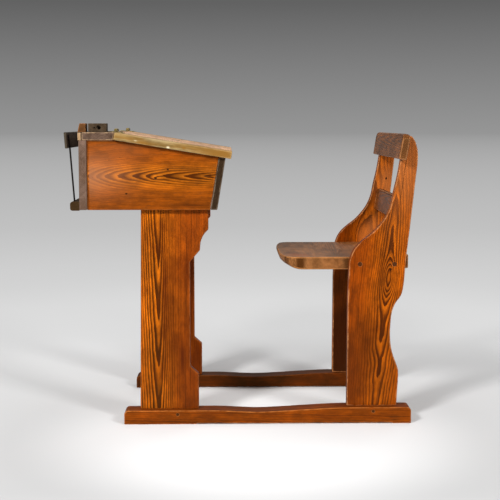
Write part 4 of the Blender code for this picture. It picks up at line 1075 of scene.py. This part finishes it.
class SCHOOLDESK_OT_book_rack(bpy.types.Operator):
    """Dress the ledge, the strip, the rods and the staples behind the locker"""

    bl_idname = "school_desk.book_rack"
    bl_label = "Book rack"

    def execute(self, context):
        settings = context.scene.school_desk_metal
        dress("rack_ledge", "desk", pine(
            "rack_ledge", "Y", "Z", finish="brown", heart=(0.0, 0.02, 0.0), seed=2.2, rings=0.6,
            tints=dict(early=(50, 31, 17), late=(28, 17, 9), stain=(44, 28, 16), edge=(96, 70, 46)),
        ), band=0.002)
        dress("rack_strip", "desk", pine(
            "rack_strip", "Y", "Z", -RACK_LEAN, finish="black", heart=(0.004, 0.02, 0.0), seed=5.3,
            rings=0.6, tints=dict(edge=(96, 90, 78)),
        ), band=0.002)
        iron = metal("rod_iron", settings.iron, settings.rust, 0.35, 0.48, 0.85)
        for side in ("left", "middle", "right"):
            repaint(f"{side}_rack_rod", iron)
            repaint(f"{side}_rack_staple", iron)
        return {"FINISHED"}


class SCHOOLDESK_OT_end_blocks(bpy.types.Operator):
    """Dress the small wedge and the small block on the rail"""

    bl_idname = "school_desk.end_blocks"
    bl_label = "End blocks"

    def execute(self, context):
        dress("end_wedge", "desk", pine(
            "end_wedge", "Y", "X", finish="brown", heart=(0.01, 0.012, 0.0), seed=4.4, rings=0.6,
            wear=0.5, end=0.2, tints=dict(early=(106, 68, 38), late=(52, 22, 8)),
        ), band=0.0015, soften=0.0003)
        dress("end_block", "desk", pine(
            "end_block", "Y", "X", finish="grey", heart=(0.02, 0.02, 0.0), seed=6.9, rings=0.6,
            end=0.3, tints=dict(early=(86, 74, 61), late=(46, 33, 24)),
        ), band=0.002, soften=0.0003)
        return {"FINISHED"}


class SCHOOLDESK_OT_seat(bpy.types.Operator):
    """Dress the dished seat board"""

    bl_idname = "school_desk.seat"
    bl_label = "Seat board"

    def execute(self, context):
        setback = context.scene.school_desk_pine.seat_bow
        dress("seat_board", "desk", pine(
            "seat_board", "Y", "X", finish="brown", heart=(0.02, 0.045, 0.0), taper=0.05, seed=3.3,
            wear=0.6, rough=-0.02, end=0.15, stain=0.5, patches=(
                (-0.146, -0.19, 0.014, 1.4, -2.4), (-0.121, 0.2, 0.008, 0.6, -2.6),
                (-0.100, -0.2, 0.011, 0.6, -1.8), (-0.06, -0.2, 0.010, 0.4, -0.8),
                (-0.10, -0.14, 0.03, 1.5, 0.35), (-0.02, -0.2, 0.20, 0.05, 0.05),
                (0.02, -0.2, 0.008, 0.5, -1.0),
            # partly painted sheen: the early wood is the seat's brown greyed to the tone that the
            # sheen gives its top
            ), tints=dict(early=(150, 98, 56), late=(98, 56, 26), stain=(70, 34, 8),
                          edge=(190, 126, 70), bloom_and_sheen=(190, 92, 30)),
        ), soften=0.0, reshape=lambda bm: bow_front(bm, setback))
        return {"FINISHED"}


class SCHOOLDESK_OT_back_rails(bpy.types.Operator):
    """Dress the rail behind the seat, the middle rail and the crest rail"""

    bl_idname = "school_desk.back_rails"
    bl_label = "Back rails"

    def execute(self, context):
        rounding = context.scene.school_desk_pine.crest_rounding
        for node, lean, seed, wear, early, reshape in (
            ("rear_seat_rail", 0.0, 1.4, 0.7, (142, 84, 40), None),
            ("middle_back_rail", BACK_LEAN, 5.8, 0.7, (136, 72, 22), None),
            ("crest_rail", BACK_LEAN, 7.7, 0.66, (138, 81, 36),
             lambda bm: round_over(bm, BACK_LEAN, rounding)),
        ):
            dress(node, "desk", pine(
                node, "Y", "Z", lean, finish="brown", heart=(0.012, 0.035, 0.0), taper=0.03,
                seed=seed, rings=0.9, wear=wear, end=0.6,
                tints=dict(early=early, edge=(168, 112, 70)),
            ), band=0.0026, reshape=reshape, turn=ONE_ROUND_SIDE)
        return {"FINISHED"}


LAMPS_AIM = (0.0, 0.0, 0.42)
CAMERA_PLACE = (-0.0416, -3.2465, 0.7545)
CAMERA_TURN = (math.radians(90 - 5.952), 0.0, math.radians(-1.164))
FLOOR_RADIUS = 90.0
FLOOR_DROP = 0.0002
POOL_SHIFT = (-0.03, 0.32, 0.0)
POOL_SQUEEZE = (1.0, 0.85, 1.0)
POOL_INSIDE, POOL_RIM = 0.26, 0.61


class SCHOOLDESK_OT_stage(bpy.types.Operator):
    """Set the pale floor, the backdrop, the soft lamps and the camera"""

    bl_idname = "school_desk.stage"
    bl_label = "Floor, lamps and camera"

    def execute(self, context):
        settings = context.scene.school_desk_stage
        make_floor(settings)
        make_backdrop(settings)
        for name, place, size, watts in (
            ("key_lamp", (-1.8, -3.1, 2.3), 0.6, settings.key),
            ("fill_lamp", (2.2, -3.0, 2.2), 0.7, settings.fill),
            ("top_lamp", (0.3, 2.2, 3.0), 2.4, settings.rim),
        ):
            lamp = bpy.data.lights.new(name, "AREA")
            lamp.shape = "SQUARE"
            lamp.size = size
            lamp.energy = watts
            holder = stand(name, lamp)
            holder.location = place
            look = Vector(LAMPS_AIM) - Vector(place)
            holder.rotation_euler = look.to_track_quat("-Z", "Y").to_euler()
        camera = bpy.data.cameras.new("camera")
        camera.lens = settings.lens
        camera.sensor_width = 36.0
        camera.clip_end = 200.0
        holder = stand("camera", camera)
        holder.location = CAMERA_PLACE
        holder.rotation_euler = CAMERA_TURN
        context.scene.camera = holder
        context.scene.view_settings.view_transform = "Standard"
        return {"FINISHED"}


def make_floor(settings):
    """A wide round floor: lit by the lamps near the desk, with a painted pool of light and a
    painted falloff in its colour, and its own grey glow farther back.
    """
    bm = bmesh.new()
    bmesh.ops.create_circle(bm, cap_ends=True, segments=settings.floor_sides,
                             radius=FLOOR_RADIUS)
    floor = stand("floor", mesh_of("floor", bm))
    floor.location.z = -FLOOR_DROP
    material, w, shader = new_material("studio_floor")
    place = w.add("ShaderNodeTexCoord").outputs["Object"]
    away = w.vectors("LENGTH", place)
    deep = w.split(place)[1]
    # painted light: a pool of light painted into the floor's colour, an oval in front of the desk,
    # and a painted falloff from the near colour to the back colour
    oval = w.vectors("MULTIPLY", w.vectors("ADD", place, POOL_SHIFT), POOL_SQUEEZE)
    pool = w.step(w.vectors("LENGTH", oval), POOL_INSIDE, POOL_RIM, 1.0, 0.0)
    rearward = w.over(w.plus(deep, 0.8), 1.7, clamp=True)
    plain = w.blend(rearward, settings.floor_near, settings.floor_back)
    w.feed(shader.inputs["Base Color"], w.blend(pool, plain, settings.floor_pool))
    w.feed(shader.inputs["Roughness"], 0.9)
    w.feed(shader.inputs["Specular IOR Level"], 0.0)
    # the glow goes from one grey to the next by the logarithm of the distance
    tens = w.maths("LOGARITHM", w.larger(away, 0.01), 10.0)
    sweep = w.blend(w.over(w.minus(tens, 0.28), 0.48, clamp=True),
                    settings.floor_far, settings.floor_middle)
    sweep = w.blend(w.over(w.minus(tens, 0.76), 1.19, clamp=True), sweep, settings.horizon)
    glow = w.add("ShaderNodeEmission", {"Color": sweep, "Strength": 1.0})
    lift = w.larger(w.step(away, 1.1, 3.4), w.step(deep, 0.55, 1.15, 0.0, 0.6))
    mix = w.add("ShaderNodeMixShader", {0: lift, 1: shader.outputs[0], 2: glow.outputs[0]})
    w.feed(material.node_tree.nodes["Material Output"].inputs["Surface"], mix.outputs[0])
    floor.data.materials.append(material)


def make_backdrop(settings):
    """An even soft light, seen as a grey sweep by the camera and in gloss."""
    world = bpy.data.worlds.new("studio")
    bpy.context.scene.world = world
    world.use_nodes = True
    world.node_tree.nodes.clear()
    w = Wiring(world.node_tree)
    up = w.split(w.add("ShaderNodeTexCoord").outputs["Generated"])[2]
    rise = w.over(w.plus(up, 0.0084), 0.105, clamp=True)
    sweep = w.blend(rise, settings.horizon, settings.zenith)
    ray = w.add("ShaderNodeLightPath").outputs
    mirrored = w.larger(ray["Is Glossy Ray"], ray["Is Transmission Ray"])
    seen = w.larger(ray["Is Camera Ray"], mirrored)
    lit = w.add("ShaderNodeBackground", {"Color": (1.0, 1.0, 1.0), "Strength": settings.sky})
    shown = w.add("ShaderNodeBackground", {"Color": sweep, "Strength": 1.0})
    mix = w.add("ShaderNodeMixShader", {0: seen, 1: lit.outputs[0], 2: shown.outputs[0]})
    w.add("ShaderNodeOutputWorld", {"Surface": mix.outputs[0]})


def middle_of_top(node, up):
    """The middle of the rim of a screw's head."""
    points = [vert.co.copy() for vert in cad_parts[node].data.vertices]
    top = max(point.dot(up) for point in points)
    rim = [point for point in points if point.dot(up) > top - 5 * MERGED]
    return sum(rim, Vector()) / len(rim)


def set_screws(name, heads, lean, material):
    """Countersunk slotted screws at the given head centres, from one Geometry Nodes tree."""
    settings = bpy.context.scene.school_desk_metal
    tree = slotted_screws()
    bm = bmesh.new()
    for head in heads:
        bm.verts.new(head)
    carrier = stand(name, mesh_of(name, bm))
    modifier = carrier.modifiers.new("screws", "NODES")
    modifier.node_group = tree
    values = {
        "Head Radius": settings.screw_head, "Slot Width": settings.screw_slot,
        "Length": settings.screw_length, "Lean": lean, "Seed": 3, "Material": material,
    }
    for item in tree.interface.items_tree:
        if item.in_out == "INPUT" and item.name in values:
            modifier[item.identifier] = values[item.name]
    settle(carrier)
    bm = bmesh.new()
    bm.from_mesh(carrier.data)
    bmesh.ops.remove_doubles(bm, verts=bm.verts, dist=SNAPPED)
    bmesh.ops.recalc_face_normals(bm, faces=bm.faces)
    bm.to_mesh(carrier.data)
    bm.free()
    carrier.data.set_sharp_from_angle(angle=SHARP_METAL)
    return carrier


@built_once
def slotted_screws():
    """The tree that stands one slotted screw on each point, its slot turned at random."""
    tree = bpy.data.node_groups.new("slotted_screws", "GeometryNodeTree")
    add = tree.interface.new_socket
    add(name="Geometry", in_out="INPUT", socket_type="NodeSocketGeometry")
    for label, default in (
        ("Head Radius", 0.0032), ("Slot Width", 0.0007), ("Length", 0.0155), ("Lean", 0.0),
    ):
        add(name=label, in_out="INPUT", socket_type="NodeSocketFloat").default_value = default
    add(name="Seed", in_out="INPUT", socket_type="NodeSocketInt").default_value = 3
    add(name="Material", in_out="INPUT", socket_type="NodeSocketMaterial")
    add(name="Geometry", in_out="OUTPUT", socket_type="NodeSocketGeometry")
    w = Wiring(tree)
    take = w.add("NodeGroupInput").outputs
    give = w.add("NodeGroupOutput").inputs
    head_depth = w.times(take["Head Radius"], 0.56)
    shank = w.times(take["Head Radius"], 0.43)

    def lowered_cone(sides, top, bottom, depth, foot):
        """A cone whose foot stands below the point."""
        cone = w.add("GeometryNodeMeshCone", {
            "Vertices": sides, "Radius Top": top, "Radius Bottom": bottom, "Depth": depth,
        })
        low = w.join({2: w.times(foot, -1.0)})
        return w.add("GeometryNodeTransform", {
            "Geometry": cone.outputs["Mesh"], "Translation": low,
        }).outputs[0]

    head = lowered_cone(24, take["Head Radius"], shank, head_depth, head_depth)
    body = lowered_cone(12, shank, w.times(shank, 0.2), w.minus(take["Length"], head_depth),
                        take["Length"])
    slot = w.add("GeometryNodeMeshCube", {"Size": w.join({
        0: w.times(take["Head Radius"], 2.4), 1: take["Slot Width"],
        2: w.times(take["Slot Width"], 1.6),
    })})
    cut = w.add("GeometryNodeMeshBoolean", {"Mesh 1": head, "Mesh 2": slot.outputs["Mesh"]},
                operation="DIFFERENCE", solver="EXACT")
    screw = w.add("GeometryNodeJoinGeometry")
    w.feed(screw.inputs[0], cut.outputs["Mesh"])
    w.feed(screw.inputs[0], body)
    spin = w.add("FunctionNodeRandomValue", data_type="FLOAT")
    w.feed(spin.inputs["Seed"], take["Seed"])
    w.feed(spin.inputs[2], 0.0)
    w.feed(spin.inputs[3], math.pi)
    place = w.add("GeometryNodeInstanceOnPoints", {
        "Points": take["Geometry"], "Instance": screw.outputs[0],
        "Rotation": w.join({1: take["Lean"], 2: spin.outputs[1]}),
    })
    real = w.add("GeometryNodeRealizeInstances", {"Geometry": place.outputs["Instances"]})
    painted = w.add("GeometryNodeSetMaterial", {
        "Geometry": real.outputs[0], "Material": take["Material"],
    })
    w.feed(give["Geometry"], painted.outputs[0])
    return tree


# ---------------------------------------------------------------- panel and registration


OPERATORS = (
    SCHOOLDESK_OT_runners, SCHOOLDESK_OT_legs, SCHOOLDESK_OT_seat_panels, SCHOOLDESK_OT_locker,
    SCHOOLDESK_OT_rear_rail, SCHOOLDESK_OT_lid, SCHOOLDESK_OT_hinges, SCHOOLDESK_OT_book_rack,
    SCHOOLDESK_OT_end_blocks, SCHOOLDESK_OT_seat, SCHOOLDESK_OT_back_rails, SCHOOLDESK_OT_stage,
)


class SCHOOLDESK_PT_panel(bpy.types.Panel):
    """The desk's pieces and their settings"""

    bl_idname = "SCHOOLDESK_PT_panel"
    bl_label = "School Desk"
    bl_space_type = "VIEW_3D"
    bl_region_type = "UI"
    bl_category = "School Desk"

    def draw(self, context):
        for operator in OPERATORS:
            self.layout.operator(operator.bl_idname)
        for label, group in (
            ("Wood", context.scene.school_desk_pine), ("Metal", context.scene.school_desk_metal),
            ("Stage", context.scene.school_desk_stage),
        ):
            box = self.layout.box()
            box.label(text=label)
            for key in group.__annotations__:
                box.prop(group, key)


CLASSES = (SchoolDeskPine, SchoolDeskMetal, SchoolDeskStage, *OPERATORS, SCHOOLDESK_PT_panel)


def register():
    """Add the settings, the operators and the panel."""
    for item in CLASSES:
        bpy.utils.register_class(item)
    bpy.types.Scene.school_desk_pine = PointerProperty(type=SchoolDeskPine)
    bpy.types.Scene.school_desk_metal = PointerProperty(type=SchoolDeskMetal)
    bpy.types.Scene.school_desk_stage = PointerProperty(type=SchoolDeskStage)


def unregister():
    """Take the settings, the operators and the panel away."""
    for key in ("school_desk_pine", "school_desk_metal", "school_desk_stage"):
        delattr(bpy.types.Scene, key)
    for item in reversed(CLASSES):
        bpy.utils.unregister_class(item)


def main():
    """Dress the whole desk."""
    register()
    for operator in OPERATORS:
        family, name = operator.bl_idname.split(".")
        getattr(getattr(bpy.ops, family), name)()


if __name__ == "__main__":
    main()
